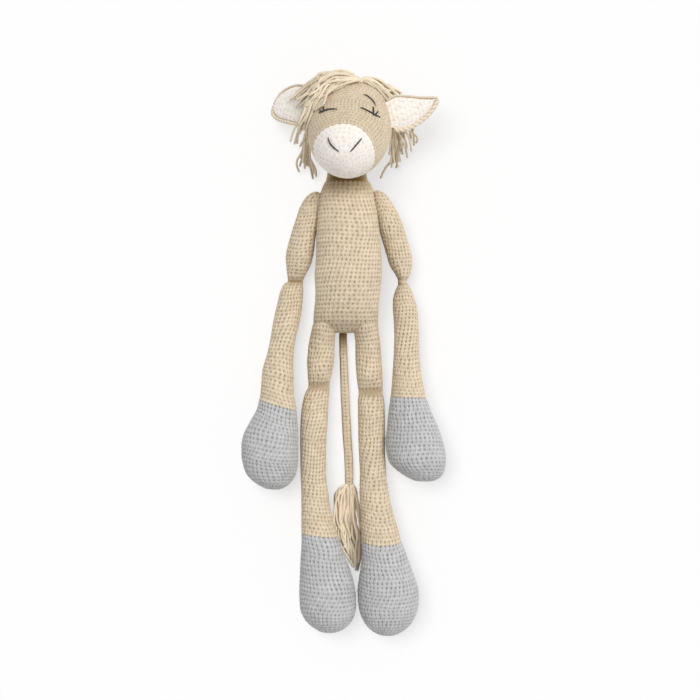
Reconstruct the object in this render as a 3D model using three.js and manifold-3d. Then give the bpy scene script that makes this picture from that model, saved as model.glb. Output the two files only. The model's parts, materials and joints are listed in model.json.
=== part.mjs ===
// A crochet cow lying on its back on a flat surface, in millimetres.
// +Z is the toy's front, +Y runs from its tail to its head, and +X is its own left side.
// The origin is on the surface, under the middle of the torso.
import * as THREE from 'three';
import { mergeVertices } from 'three/addons/utils/BufferGeometryUtils.js';
import Module from 'manifold-3d';

const wasm = await Module();
wasm.setup();

// Crocheted fabric, sewing yarn and clearances
const WALL = 3;
const THREAD_R = 1;
const GAP = 0.3;
const REST_FLAT = 0.5;
const FLATTENING = 0.93;

// Torso, a stuffed tube along Y
const NECK_Y = 57;
const NECK_HALF = 17.5;
const SHOULDER_Y = 44.3;
const SHOULDER_HALF = 20.2;
const CHEST_Y = 22;
const CHEST_HALF = 23.4;
const BELLY_Y = -8;
const BELLY_HALF = 25.8;
const SEAT_HALF = 24.4;
const SEAT_ROUND = 14;
const SEAT_Y = -52;
const SEAT_SWAY = -1.2;
const NECK_SWAY = 0.4;

// Head, an egg whose snout points up and towards the feet
const HEAD_R = 31;
const HEAD_HALF_LENGTH = 47;
const HEAD_PITCH = 42;
const HEAD_YAW = 8;
const HEAD_X = 1.5;
const HEAD_FROM_NECK = 41.5;
const MUZZLE_FROM_CENTRE = 29.5;
const NOD_RANGE = 20;
const NOD_SPARE = 2;

// Ears
const EAR_LENGTH = 40;
const EAR_HALF = 13;
const EAR_ROOT_HALF = 9;
const EAR_TIP_RISE = 8;
const EAR_BORDER = 4;
const LINING_THICK = 1.8;
const EAR_ROOT_Y = 10;
const EAR_ROOT_Z = 4;
const RIGHT_EAR_DROOP = 40;
const LEFT_EAR_DROOP = 0;

// Arms
const ARM_TOP_R = 6.5;
const SHOULDER_SEAM_R = 4;
const UPPER_ARM_R = 10.6;
const UPPER_ARM_LENGTH = 58.8;
const ELBOW_OUT = 14;
const ELBOW_Z = 11.5;
const FOREARM_R = 10.4;
const WRIST_R = 13.9;
const HAND_R = 21.8;
const RIGHT_FOREARM_LENGTH = 91.5;
const RIGHT_HAND_LENGTH = 65;
const LEFT_FOREARM_LENGTH = 86;
const LEFT_HAND_LENGTH = 63;
const HAND_TO_LEG = 0.7;

// Legs
const HIP_MID_X = -2.4;
const HIP_SPREAD = 17.9;
const HIP_Y = -57;
const THIGH_R = 10.6;
const RIGHT_THIGH_LENGTH = 36.8;
const LEFT_THIGH_LENGTH = 41.2;
const KNEE_OUT = 1.5;
const SHANK_R = 10.5;
const SHANK_LENGTH = 111;
const ANKLE_R = 13.9;
const FOOT_R = 22;
const FOOT_LENGTH = 72.5;
const FEET_MID_X = 7.4;
const FEET_GAP = 0.8;
const RIGHT_SHANK_BOW = -6.5;
const LEFT_SHANK_BOW = -3;

// Hooves: places along one as shares of its length, with the swelling from the wrist or ankle to the
// fullest section, and then the closing end
const HOOF_SWELLING = { share: 0.33, swell: 0.7 };
const HOOF_FULLEST = 0.64;
const HOOF_CLOSING = [[0.85, 0.83], [0.955, 0.5], [1, 0.2]];

// Flat sewn seams at the elbows and knees
const SEAM_HALF_WIDTH = 8.2;
const SEAM_HALF_THICK = 1.2;
const SEAM_CLEAR = 0.4;
const SEAM_TAPER = 13;
const CORE_FROM_SEAM = 0.75;

// Tail and tassel: the tassel's fullness is listed along shares of its length
const TAIL_R = 3.3;
const TAIL_LENGTH = 113;
const TAIL_ASIDE = -1.4;
const TAIL_BEND = 4.2;
const TASSEL_LENGTH = 58;
const TASSEL_HALF = 6.2;
const TASSEL_HIGH = 5;
const TASSEL_LEAN = 4.8;
const TASSEL_FULLNESS = [[0, 0.5], [0.12, 1], [0.45, 1], [0.75, 0.75], [1, 0.25]];

// Embroidery: strokes of thread through places beside and above the head's centre, in X and Y, as
// shares of the head's radius
const STITCH_R = 0.9;
const FACE_STROKES = {
  right_eye: [
    [[-0.326, 0.297], [-0.513, 0.252], [-0.703, 0.258]],
    [[-0.629, 0.232], [-0.671, 0.432]],
    [[-0.542, 0.232], [-0.581, 0.394]],
  ],
  left_eye: [
    [[0.258, 0.323], [0.49, 0.213], [0.703, 0.165]],
    [[0.535, 0.161], [0.542, 0.371]],
    [[0.606, 0.155], [0.658, 0.284]],
  ],
  right_brow: [[[-0.365, 0.761], [-0.471, 0.739], [-0.59, 0.671]]],
  left_brow: [[[0.329, 0.694], [0.471, 0.6], [0.587, 0.455]]],
  right_nostril: [[[-0.513, -0.352], [-0.442, -0.519], [-0.255, -0.71]]],
  left_nostril: [[[0.277, -0.381], [0.139, -0.548], [0, -0.713]]],
};

// Mane, in shares of the head's radius: a knotted crown, and bunches given by places from the
// head's centre with their half width and half height
const CROWN_HALF = [0.242, 0.194, 0.194];
const CROWN_X = 0.113;
const CROWN_Y = 1;
const CROWN_LIFT = 0.032;
const LOCK_LIFT = 0.3;
const MANE_LOCKS = {
  mane_right_front: [
    [-0.29, 0.968, 0.419, 0.194, 0.129],
    [-0.661, 0.806, 0.306, 0.29, 0.129],
    [-1.032, 0.516, 0.323, 0.274, 0.129],
    [-1.274, 0.145, 0.21, 0.129, 0.081],
  ],
  mane_right_long: [
    [-1.006, -0.194, -0.226, 0.113, 0.097],
    [-1.129, -0.452, -0.581, 0.113, 0.097],
    [-1.161, -0.71, -0.935, 0.097, 0.097],
    [-1.145, -1, -1.145, 0.065, 0.081],
  ],
  mane_left_front: [
    [0.5, 1.081, 0.129, 0.161, 0.129],
    [0.758, 0.968, -0.032, 0.194, 0.129],
    [1.065, 0.823, -0.258, 0.194, 0.129],
    [1.387, 0.613, -0.484, 0.129, 0.097],
  ],
  mane_left_long: [
    [1, -0.129, -0.323, 0.113, 0.097],
    [1.161, -0.387, -0.645, 0.113, 0.097],
    [1.242, -0.645, -0.935, 0.097, 0.097],
    [1.226, -0.903, -1.145, 0.065, 0.081],
  ],
};

// Ring and side counts of the soft forms
const TORSO_SIDES = 20;
const LIMB_SIDES = 12;
const CORE_SIDES = 8;
const LOCK_SIDES = 8;
const STITCH_SIDES = 6;
const HEAD_SIDES = 20;
const HEAD_RINGS = 12;
const CROWN_SIDES = 12;
const PLATE = { bevelEnabled: false, curveSegments: 8 };
const HALVINGS = 40;

// A box this large stands for the space below a plane
const FAR = 400;
const MERGE = 1e-4;

const UP = new THREE.Vector3(0, 0, 1);
const point = (x, y, z) => new THREE.Vector3(x, y, z);
const radians = THREE.MathUtils.degToRad;
const mix = THREE.MathUtils.lerp;

// Materials
const finish = (color, roughness) => new THREE.MeshStandardMaterial({ color, roughness, metalness: 0 });
const beigeYarn = () => finish(0xdcc6a0, 0.9);
const greyYarn = () => finish(0xc3c3c3, 0.9);
const whiteYarn = () => finish(0xf8f2ea, 0.9);
const darkThread = () => finish(0x333333, 0.8);
const plyYarn = () => finish(0xd8c29c, 0.85);
const fibreFill = () => finish(0xf5f5f0, 1);

// Closed solids from geometries, and meshes from solids
function solid(geometry) {
  const bare = geometry.clone();
  bare.deleteAttribute('normal');
  bare.deleteAttribute('uv');
  const merged = mergeVertices(bare, MERGE);
  const corners = merged.index.array;
  const triVerts = [];
  for (let i = 0; i < corners.length; i += 3) {
    const [a, b, c] = [corners[i], corners[i + 1], corners[i + 2]];
    if (a !== b && b !== c && a !== c) triVerts.push(a, b, c);
  }
  const vertProperties = new Float32Array(merged.attributes.position.array);
  const mesh = new wasm.Mesh({ numProp: 3, vertProperties, triVerts: new Uint32Array(triVerts) });
  return new wasm.Manifold(mesh);
}

const cow = new THREE.Group();

function piece(name, shape, material) {
  const { vertProperties, triVerts } = shape.getMesh();
  const geometry = new THREE.BufferGeometry();
  geometry.setAttribute('position', new THREE.BufferAttribute(new Float32Array(vertProperties), 3));
  geometry.setIndex(new THREE.BufferAttribute(new Uint32Array(triVerts), 1));
  geometry.computeVertexNormals();
  const mesh = new THREE.Mesh(geometry, material);
  mesh.name = name;
  cow.add(mesh);
}

// A soft form follows a centre line and swells and tapers: each key gives the place along it,
// the centre there, and the half width and half height of the section. A level form keeps its
// sections upright.
function softForm(keys, level = false) {
  const girths = keys.map((key) => point(key.wide, key.high, 0));
  return {
    level,
    along: keys.map((key) => key.along),
    centre: new THREE.CatmullRomCurve3(keys.map((key) => key.at)),
    girth: new THREE.CatmullRomCurve3(girths),
  };
}

function parameter(form, along) {
  const last = form.along.length - 1;
  let i = 0;
  while (i < last - 1 && along > form.along[i + 1]) i += 1;
  const share = (along - form.along[i]) / (form.along[i + 1] - form.along[i]);
  return THREE.MathUtils.clamp((i + share) / last, 0, 1);
}

function stationsBetween(form, from, to) {
  const inner = form.along.filter((along) => along > from + 1 && along < to - 1);
  const stops = [from, ...inner, to];
  const between = stops.slice(1).map((stop, i) => (stop + stops[i]) / 2);
  return [...stops, ...between].sort((a, b) => a - b);
}

// The form between two places along it, with its surface moved in by inset.
// A positive runOut carries the start that far out of the form, which opens a shell there.
function swept(form, { from, to, inset = 0, runOut = 0, sides }) {
  const rings = stationsBetween(form, from, to).map((along) => {
    const t = parameter(form, along);
    const girth = form.girth.getPoint(t);
    const tangent = form.centre.getTangent(t);
    if (form.level) tangent.setZ(0).normalize();
    return { centre: form.centre.getPoint(t), tangent, wide: girth.x - inset, high: girth.y - inset };
  });
  if (runOut > 0) {
    const first = rings[0];
    rings.unshift({ ...first, centre: first.centre.clone().addScaledVector(first.tangent, -runOut) });
  }
  const profile = rings.map((_, i) => new THREE.Vector2(1, i));
  profile.unshift(new THREE.Vector2(0, 0));
  profile.push(new THREE.Vector2(0, rings.length - 1));
  const lathe = new THREE.LatheGeometry(profile, sides);
  const place = lathe.attributes.position;
  for (let i = 0; i < place.count; i += 1) {
    const ring = rings[Math.round(place.getY(i))];
    const across = new THREE.Vector3().crossVectors(ring.tangent, UP).normalize();
    const above = new THREE.Vector3().crossVectors(across, ring.tangent);
    const spot = ring.centre.clone();
    spot.addScaledVector(across, place.getX(i) * ring.wide);
    spot.addScaledVector(above, place.getZ(i) * ring.high);
    place.setXYZ(i, spot.x, spot.y, spot.z);
  }
  return solid(lathe);
}

// Everything on the far side of a plane through a place, with its normal pointing there
function beyond(place, normal) {
  const box = new THREE.BoxGeometry(FAR, FAR, FAR).translate(0, 0, FAR / 2);
  const turn = new THREE.Quaternion().setFromUnitVectors(UP, normal.clone().normalize());
  return solid(box.applyQuaternion(turn).translate(place.x, place.y, place.z));
}

// A side outline in Y and Z, made as thick as wide along X about the middle x
function sideCut(outline, x, wide) {
  const cut = new THREE.ExtrudeGeometry(outline, { ...PLATE, depth: wide });
  const basis = new THREE.Matrix4().makeBasis(point(0, 1, 0), point(0, 0, 1), point(1, 0, 0));
  return solid(cut.applyMatrix4(basis).translate(x - wide / 2, 0, 0));
}

const underSurface = beyond(point(0, 0, 0), point(0, 0, -1));

// Torso
const torsoKeys = [
  [NECK_Y, NECK_HALF, NECK_SWAY],
  [SHOULDER_Y, SHOULDER_HALF, 0],
  [CHEST_Y, CHEST_HALF, 0],
  [BELLY_Y, BELLY_HALF, 0],
  [SEAT_Y + SEAT_ROUND, SEAT_HALF, SEAT_SWAY],
  [SEAT_Y + SEAT_ROUND / 3, SEAT_HALF * 0.88, 2 * SEAT_SWAY],
  [SEAT_Y, SEAT_HALF * 0.55, 2 * SEAT_SWAY],
].map(([y, half, x]) => {
  const high = half * FLATTENING;
  return { along: NECK_Y - y, at: point(x, y, high - REST_FLAT), wide: half, high };
});
const torso = softForm(torsoKeys, true);
const torsoLength = NECK_Y - SEAT_Y;

// The torso's middle and half width at a place along Y
function torsoAt(y) {
  const t = parameter(torso, NECK_Y - y);
  return { x: torso.centre.getPoint(t).x, half: torso.girth.getPoint(t).x };
}

// Hips: the thigh's round top turns in a notch of the seat, open upwards and towards the feet
const hipZ = THIGH_R + GAP;
const hipX = (sign) => HIP_MID_X + sign * HIP_SPREAD;

function hipNotch(sign) {
  const reach = THIGH_R + GAP;
  const outline = new THREE.Shape();
  outline.moveTo(HIP_Y, hipZ - reach);
  outline.absarc(HIP_Y, hipZ, reach, -Math.PI / 2, 0, false);
  outline.lineTo(HIP_Y + reach, FAR / 2);
  outline.lineTo(HIP_Y - FAR / 2, FAR / 2);
  outline.lineTo(HIP_Y - FAR / 2, hipZ - reach);
  return sideCut(outline, hipX(sign), 2 * reach);
}

function makeTorso() {
  const coreEnd = NECK_Y - (HIP_Y + THIGH_R + GAP + WALL);
  const aboveNeck = beyond(point(0, NECK_Y, 0), point(0, 1, 0));
  const span = { from: 0, runOut: 2 * WALL };
  const whole = swept(torso, { ...span, to: torsoLength, sides: TORSO_SIDES });
  const hollow = swept(torso, { ...span, to: coreEnd, inset: WALL, sides: LIMB_SIDES });
  const fill = swept(torso, { ...span, to: coreEnd - GAP, inset: WALL + GAP, sides: LIMB_SIDES });
  const skin = whole.subtract(underSurface).subtract(hipNotch(-1)).subtract(hipNotch(1));
  piece('torso_skin', skin.subtract(hollow).subtract(aboveNeck), beigeYarn());
  piece('torso_stuffing', fill.subtract(aboveNeck), fibreFill());
}

// Head and neck
const neckZ = NECK_HALF * FLATTENING - REST_FLAT;
const neckX = torsoAt(NECK_Y).x;
const neckSeamY = NECK_Y + GAP + THREAD_R;
const neckTopY = neckSeamY + THREAD_R + GAP;
const pitch = radians(HEAD_PITCH);
const yaw = radians(HEAD_YAW);
const snout = point(-Math.sin(yaw) * Math.sin(pitch), -Math.cos(yaw) * Math.sin(pitch), Math.cos(pitch));
const headRise = Math.hypot(HEAD_HALF_LENGTH * Math.cos(pitch), HEAD_R * Math.sin(pitch));
const headCentre = point(HEAD_X, NECK_Y + HEAD_FROM_NECK, headRise - REST_FLAT);

function egg(grow) {
  const ball = new THREE.SphereGeometry(1, HEAD_SIDES, HEAD_RINGS);
  ball.scale(HEAD_R + grow, HEAD_HALF_LENGTH + grow, HEAD_R + grow);
  ball.applyQuaternion(new THREE.Quaternion().setFromUnitVectors(point(0, 1, 0), snout));
  return solid(ball.translate(headCentre.x, headCentre.y, headCentre.z));
}

// A measure that grows outwards from the egg's centre and is 1 on its surface
function eggMeasure(v) {
  const axial = v.dot(snout);
  return (v.lengthSq() - axial ** 2) / HEAD_R ** 2 + axial ** 2 / HEAD_HALF_LENGTH ** 2;
}

function eggNormal(v) {
  const axial = snout.clone().multiplyScalar(v.dot(snout));
  const radial = v.clone().sub(axial);
  return radial.divideScalar(HEAD_R ** 2).add(axial.divideScalar(HEAD_HALF_LENGTH ** 2)).normalize();
}

// The egg's surface, found outwards from a start along a direction by halving the step
function onEgg(start, direction, lift) {
  let near = 0;
  let far = 2 * HEAD_HALF_LENGTH;
  for (let i = 0; i < HALVINGS; i += 1) {
    const middle = (near + far) / 2;
    if (eggMeasure(start.clone().addScaledVector(direction, middle)) < 1) near = middle;
    else far = middle;
  }
  const spot = start.clone().addScaledVector(direction, near);
  const normal = eggNormal(spot);
  return { normal, at: spot.addScaledVector(normal, lift).add(headCentre) };
}

// The short neck leans from the seam up into the egg
function neckForm() {
  const inside = headCentre.clone().lerp(point(neckX, neckTopY, neckZ), 0.4);
  const length = inside.distanceTo(point(neckX, neckTopY, neckZ));
  return softForm([
    { along: 0, at: point(neckX, neckTopY, neckZ), wide: neckZ, high: neckZ },
    { along: length / 3, at: point(neckX, neckTopY + length / 3, neckZ * 1.1), wide: neckZ, high: neckZ },
    { along: length, at: inside, wide: neckZ * 0.9, high: neckZ * 0.9 },
  ]);
}

// Room under the chin for the nod
function nodWedge() {
  const slope = Math.tan(radians(NOD_RANGE + NOD_SPARE));
  const rise = NECK_HALF + NOD_SPARE;
  const outline = new THREE.Shape();
  outline.moveTo(neckTopY, neckZ);
  outline.lineTo(neckTopY + rise * slope, neckZ + rise);
  outline.lineTo(neckTopY - NECK_HALF, neckZ + rise);
  outline.lineTo(neckTopY - NECK_HALF, neckZ);
  return sideCut(outline, neckX, 2 * (NECK_HALF + WALL));
}

function makeHead() {
  const neck = neckForm();
  const span = { from: 0, to: neck.along.at(-1), sides: LIMB_SIDES };
  const neckPart = (inset, runOut) => swept(neck, { ...span, inset, runOut });
  const belowSeam = beyond(point(0, neckTopY, 0), point(0, -1, 0));
  const notHead = nodWedge().add(belowSeam).add(underSurface);
  const whole = egg(0).add(neckPart(0, WALL)).subtract(notHead);
  const hollow = egg(-WALL).add(neckPart(WALL, 2 * WALL));
  const shell = whole.subtract(hollow);
  const muzzleEdge = (offset) => headCentre.clone().addScaledVector(snout, MUZZLE_FROM_CENTRE + offset);
  const muzzleSide = beyond(muzzleEdge(0), snout);
  const headSide = beyond(muzzleEdge(GAP), snout.clone().negate());
  const fill = egg(-WALL - GAP).add(neckPart(WALL + GAP, WALL)).subtract(notHead);
  piece('neck_seam', neckRing(), beigeYarn());
  piece('head_skin', shell.subtract(muzzleSide), beigeYarn());
  piece('muzzle_skin', shell.subtract(headSide), whiteYarn());
  piece('head_stuffing', fill, fibreFill());
}

function neckRing() {
  const ring = new THREE.TorusGeometry(neckZ - THREAD_R - GAP, THREAD_R, STITCH_SIDES, TORSO_SIDES);
  return solid(ring.rotateX(Math.PI / 2).translate(neckX, neckSeamY, neckZ));
}

// Ears: a beige back and a white lining, flat leaves on the sides of the head
function earLeaf(length, half, rootHalf, rise, flip) {
  const leaf = new THREE.Shape();
  const below = [length * 0.4, -1.5 * half * flip, length * 0.8, -0.4 * half * flip];
  const above = [length * 0.7, 1.05 * half * flip, length * 0.3, 1.1 * half * flip];
  leaf.moveTo(0, -rootHalf * flip);
  leaf.bezierCurveTo(...below, length, rise * flip);
  leaf.bezierCurveTo(...above, 0, rootHalf * flip);
  leaf.closePath();
  return leaf;
}

function earFrame(sign, droop) {
  const out = point(sign, 0, 0);
  const root = onEgg(point(0, EAR_ROOT_Y, EAR_ROOT_Z), out, GAP + WALL * Math.sin(radians(droop)));
  const hinge = new THREE.Vector3().crossVectors(UP, root.normal).normalize();
  const level = new THREE.Vector3().crossVectors(hinge, UP);
  const outward = level.applyAxisAngle(hinge, radians(droop));
  const face = new THREE.Vector3().crossVectors(outward, hinge);
  return new THREE.Matrix4().makeBasis(outward, hinge, face).setPosition(root.at);
}

function earPlate(leaf, thick, lift, frame) {
  const plate = new THREE.ExtrudeGeometry(leaf, { ...PLATE, depth: thick });
  return solid(plate.translate(0, 0, lift).applyMatrix4(frame));
}

function makeEar(side, sign, droop) {
  const frame = earFrame(sign, droop);
  const back = earLeaf(EAR_LENGTH, EAR_HALF, EAR_ROOT_HALF, EAR_TIP_RISE, sign);
  const lining = earLeaf(
    EAR_LENGTH - 2 * EAR_BORDER,
    EAR_HALF - EAR_BORDER,
    EAR_ROOT_HALF - EAR_BORDER / 2,
    EAR_TIP_RISE - EAR_BORDER / 2,
    sign,
  );
  const inner = frame.clone().multiply(new THREE.Matrix4().makeTranslation(EAR_BORDER, 0, 0));
  piece(`${side}_ear_back`, earPlate(back, WALL, -WALL, frame), beigeYarn());
  piece(`${side}_ear_lining`, earPlate(lining, LINING_THICK, GAP, inner), whiteYarn());
}

// Embroidery
function stroke(places) {
  const starts = places.map(([x, y]) => point(x, y, 0).multiplyScalar(HEAD_R));
  const spots = starts.map((start) => onEgg(start, UP, STITCH_R + GAP).at);
  let along = 0;
  const keys = spots.map((at, i) => {
    if (i > 0) along += at.distanceTo(spots[i - 1]);
    return { along, at, wide: STITCH_R, high: STITCH_R };
  });
  return swept(softForm(keys), { from: 0, to: along, sides: STITCH_SIDES });
}

function makeFace() {
  for (const [name, strokes] of Object.entries(FACE_STROKES)) {
    const [first, ...rest] = strokes.map(stroke);
    piece(name, rest.reduce((whole, next) => whole.add(next), first), darkThread());
  }
}

// Mane: bunches of plied yarn knotted to a crown on top of the head
function lock(keys) {
  const spots = keys.map(([x, y, z]) => point(x, y, z).multiplyScalar(HEAD_R).add(headCentre));
  let along = 0;
  const placed = spots.map((at, i) => {
    if (i > 0) along += at.distanceTo(spots[i - 1]);
    const [wide, high] = keys[i].slice(3).map((share) => share * HEAD_R);
    return { along, at, wide, high };
  });
  const whole = swept(softForm(placed), { from: 0, to: along, sides: LOCK_SIDES });
  return whole.subtract(egg(LOCK_LIFT)).subtract(underSurface);
}

function makeMane() {
  const crown = new THREE.SphereGeometry(HEAD_R, CROWN_SIDES, LOCK_SIDES).scale(...CROWN_HALF);
  const crownStart = point(CROWN_X, CROWN_Y, 0).multiplyScalar(HEAD_R);
  const crownAt = onEgg(crownStart, UP, CROWN_LIFT * HEAD_R).at;
  const knot = solid(crown.translate(crownAt.x, crownAt.y, crownAt.z));
  piece('mane_crown', knot.subtract(egg(LOCK_LIFT)), plyYarn());
  for (const [name, keys] of Object.entries(MANE_LOCKS)) piece(name, lock(keys), plyYarn());
}

// A flat seam presses the section to a thin edge, lying level or standing on edge
function seamGirth(level) {
  const [wide, high] = [SEAM_HALF_WIDTH, SEAM_HALF_THICK];
  return level ? { wide, high } : { wide: high, high: wide };
}

const seamReach = THREAD_R + SEAM_CLEAR;

function seamThread(place, level) {
  const length = 2 * (SEAM_HALF_WIDTH - THREAD_R);
  const bar = new THREE.CylinderGeometry(THREAD_R, THREAD_R, length, STITCH_SIDES);
  if (level) bar.rotateZ(Math.PI / 2);
  else bar.rotateX(Math.PI / 2);
  return solid(bar.translate(place.x, place.y, place.z));
}

// A limb's outer half ends in a hoof: its skin changes from beige to grey at the wrist or ankle
function makeHoofedLimb(names, form, edge) {
  const end = form.along.at(-1);
  const whole = swept(form, { from: form.along[0], to: end, sides: LIMB_SIDES });
  const coreSpan = { from: SEAM_TAPER * CORE_FROM_SEAM, to: end - WALL, sides: CORE_SIDES };
  const hollow = swept(form, { ...coreSpan, inset: WALL });
  const fill = swept(form, {
    from: coreSpan.from + GAP,
    to: coreSpan.to - GAP,
    inset: WALL + GAP,
    sides: CORE_SIDES,
  });
  const t = parameter(form, edge);
  const place = form.centre.getPoint(t);
  const towards = form.centre.getTangent(t);
  const shell = whole.subtract(underSurface).subtract(hollow);
  const hoofStart = place.clone().addScaledVector(towards, GAP);
  piece(names.skin, shell.subtract(beyond(place, towards)), beigeYarn());
  piece(names.hoof, shell.subtract(beyond(hoofStart, towards.clone().negate())), greyYarn());
  piece(names.fill, fill, fibreFill());
}

// The limb's inner half is open where it meets the torso and closed by the flat seam
function makeInnerLimb(names, form) {
  const [start, end] = [form.along[0], form.along.at(-1)];
  const coreEnd = end - SEAM_TAPER * CORE_FROM_SEAM;
  const whole = swept(form, { from: start, to: end, sides: LIMB_SIDES });
  const opening = start + WALL;
  const span = { from: opening, sides: CORE_SIDES };
  const hollow = swept(form, { ...span, to: coreEnd, inset: WALL, runOut: 2 * WALL });
  const fill = swept(form, { ...span, to: coreEnd - GAP, inset: WALL + GAP });
  piece(names.skin, whole.subtract(underSurface).subtract(hollow), beigeYarn());
  piece(names.fill, fill, fibreFill());
}

// How far along a stretch a place is, from 0 to 1
function bendShare(along, from, to) {
  return THREE.MathUtils.clamp((along - from) / (to - from), 0, 1);
}

// The rounded top of an arm or thigh, about its turning point
function roundTop(radius) {
  const shares = [-0.985, -0.8, -0.4];
  return shares.map((share) => ({ along: share * radius, r: radius * Math.sqrt(1 - share ** 2) }));
}

// Places along a hoof that starts at the wrist or ankle, with the radius at each
function hoofKeys(start, length, startR, fullR) {
  const { share, swell } = HOOF_SWELLING;
  return [
    [start, startR],
    [start + share * length, mix(startR, fullR, swell)],
    [start + HOOF_FULLEST * length, fullR],
    ...HOOF_CLOSING.map(([place, full]) => [start + place * length, full * fullR]),
  ];
}

// Legs
function kneeAt(sign) {
  const length = sign < 0 ? RIGHT_THIGH_LENGTH : LEFT_THIGH_LENGTH;
  return point(hipX(sign) + sign * KNEE_OUT, HIP_Y - length, hipZ);
}

function thighForm(sign) {
  const hip = point(hipX(sign), HIP_Y, hipZ);
  const knee = kneeAt(sign);
  const length = hip.y - knee.y;
  const straight = length - SEAM_TAPER;
  const line = (along) => point(mix(hip.x, knee.x, bendShare(along, 0, straight)), hip.y - along, hipZ);
  const round = [...roundTop(THIGH_R), { along: 0, r: THIGH_R }, { along: straight, r: THIGH_R }];
  const keys = round.map(({ along, r }) => ({ along, at: line(along), wide: r, high: r }));
  const last = length - seamReach;
  keys.push({ along: last, at: line(last), ...seamGirth(true) });
  return softForm(keys);
}

function lowerLegForm(sign) {
  const knee = kneeAt(sign);
  const length = SHANK_LENGTH + FOOT_LENGTH;
  const foot = point(FEET_MID_X + sign * (FOOT_R + FEET_GAP / 2), knee.y - length, FOOT_R - REST_FLAT);
  const fullest = SHANK_LENGTH + FOOT_LENGTH * HOOF_FULLEST;
  const bow = sign < 0 ? RIGHT_SHANK_BOW : LEFT_SHANK_BOW;
  const line = (along) => {
    const share = bendShare(along, SEAM_TAPER, fullest);
    const x = mix(knee.x, foot.x, share ** 2) + bow * 4 * share * (1 - share) ** 2;
    return point(x, knee.y - along, mix(knee.z, foot.z, share));
  };
  const round = [
    [SEAM_TAPER, SHANK_R],
    [SHANK_LENGTH * 0.45, SHANK_R],
    ...hoofKeys(SHANK_LENGTH, FOOT_LENGTH, ANKLE_R, FOOT_R),
  ];
  const keys = round.map(([along, r]) => ({ along, at: line(along), wide: r, high: r }));
  keys.unshift({ along: seamReach, at: line(seamReach), ...seamGirth(true) });
  return softForm(keys);
}

const legForms = new Map([-1, 1].map((sign) => [sign, lowerLegForm(sign)]));

function makeLeg(side, sign) {
  const thighNames = { skin: `${side}_thigh_skin`, fill: `${side}_thigh_stuffing` };
  makeInnerLimb(thighNames, thighForm(sign));
  piece(`${side}_knee_seam`, seamThread(kneeAt(sign), true), beigeYarn());
  const names = {
    skin: `${side}_lower_leg_skin`,
    hoof: `${side}_foot_hoof_skin`,
    fill: `${side}_lower_leg_stuffing`,
  };
  makeHoofedLimb(names, legForms.get(sign), SHANK_LENGTH);
}

// The outer edge of a leg at a place along Y
function legEdge(sign, y) {
  const form = legForms.get(sign);
  const along = kneeAt(sign).y - y;
  const t = parameter(form, along);
  return form.centre.getPoint(t).x + sign * form.girth.getPoint(t).x;
}

// Arms
const shoulderZ = SHOULDER_HALF * FLATTENING - REST_FLAT;
const elbowY = SHOULDER_Y - UPPER_ARM_LENGTH;

function shoulderAt(sign) {
  const side = torsoAt(SHOULDER_Y - SHOULDER_SEAM_R);
  const seam = 2 * THREAD_R;
  return point(side.x + sign * (side.half + seam + ARM_TOP_R), SHOULDER_Y, shoulderZ);
}

function elbowAt(sign) {
  const side = torsoAt(elbowY);
  return point(side.x + sign * (side.half + ELBOW_OUT), elbowY, ELBOW_Z);
}

// An upper arm lies along the torso's side, clear of its widest part so that it can lift
function upperArmForm(sign, level) {
  const shoulder = shoulderAt(sign);
  const elbow = elbowAt(sign);
  const place = (along, r) => {
    const share = bendShare(along, 0, UPPER_ARM_LENGTH - SEAM_TAPER);
    const y = shoulder.y - along;
    const side = torsoAt(y);
    const beside = side.half + 2 * GAP + r + sign * side.x;
    const straight = sign * mix(shoulder.x, elbow.x, share);
    const x = along <= 0 ? shoulder.x : sign * Math.max(beside, straight);
    return point(x, y, mix(shoulder.z, elbow.z, share));
  };
  const round = [
    ...roundTop(ARM_TOP_R),
    { along: 0, r: ARM_TOP_R },
    { along: UPPER_ARM_LENGTH * 0.22, r: mix(ARM_TOP_R, UPPER_ARM_R, 0.6) },
    { along: UPPER_ARM_LENGTH * 0.5, r: UPPER_ARM_R },
    { along: UPPER_ARM_LENGTH - SEAM_TAPER, r: UPPER_ARM_R },
  ];
  const keys = round.map(({ along, r }) => ({ along, at: place(along, r), wide: r, high: r }));
  const last = UPPER_ARM_LENGTH - seamReach;
  keys.push({ along: last, at: point(elbow.x, elbowY + seamReach, elbow.z), ...seamGirth(level) });
  return softForm(keys);
}

function forearmForm(sign, level, foreLength, handLength) {
  const elbow = elbowAt(sign);
  const fullest = foreLength + handLength * HOOF_FULLEST;
  const handY = elbow.y - fullest;
  const handX = legEdge(sign, handY) + sign * (HAND_TO_LEG + HAND_R);
  const line = (along) => {
    const share = bendShare(along, SEAM_TAPER, fullest);
    const z = mix(elbow.z, HAND_R - REST_FLAT, share);
    return point(mix(elbow.x, handX, share), elbow.y - along, z);
  };
  const round = [
    [SEAM_TAPER, FOREARM_R],
    [foreLength * 0.5, FOREARM_R],
    ...hoofKeys(foreLength, handLength, WRIST_R, HAND_R),
  ];
  const keys = round.map(([along, r]) => ({ along, at: line(along), wide: r, high: r }));
  keys.unshift({ along: seamReach, at: line(seamReach), ...seamGirth(level) });
  return softForm(keys);
}

function shoulderSeam(sign) {
  const side = torsoAt(SHOULDER_Y - SHOULDER_SEAM_R);
  const ring = new THREE.TorusGeometry(SHOULDER_SEAM_R, THREAD_R * 0.8, STITCH_SIDES, 2 * STITCH_SIDES);
  const x = side.x + sign * (side.half + GAP + THREAD_R * 0.8);
  return solid(ring.rotateY(Math.PI / 2).translate(x, SHOULDER_Y, shoulderZ));
}

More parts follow.
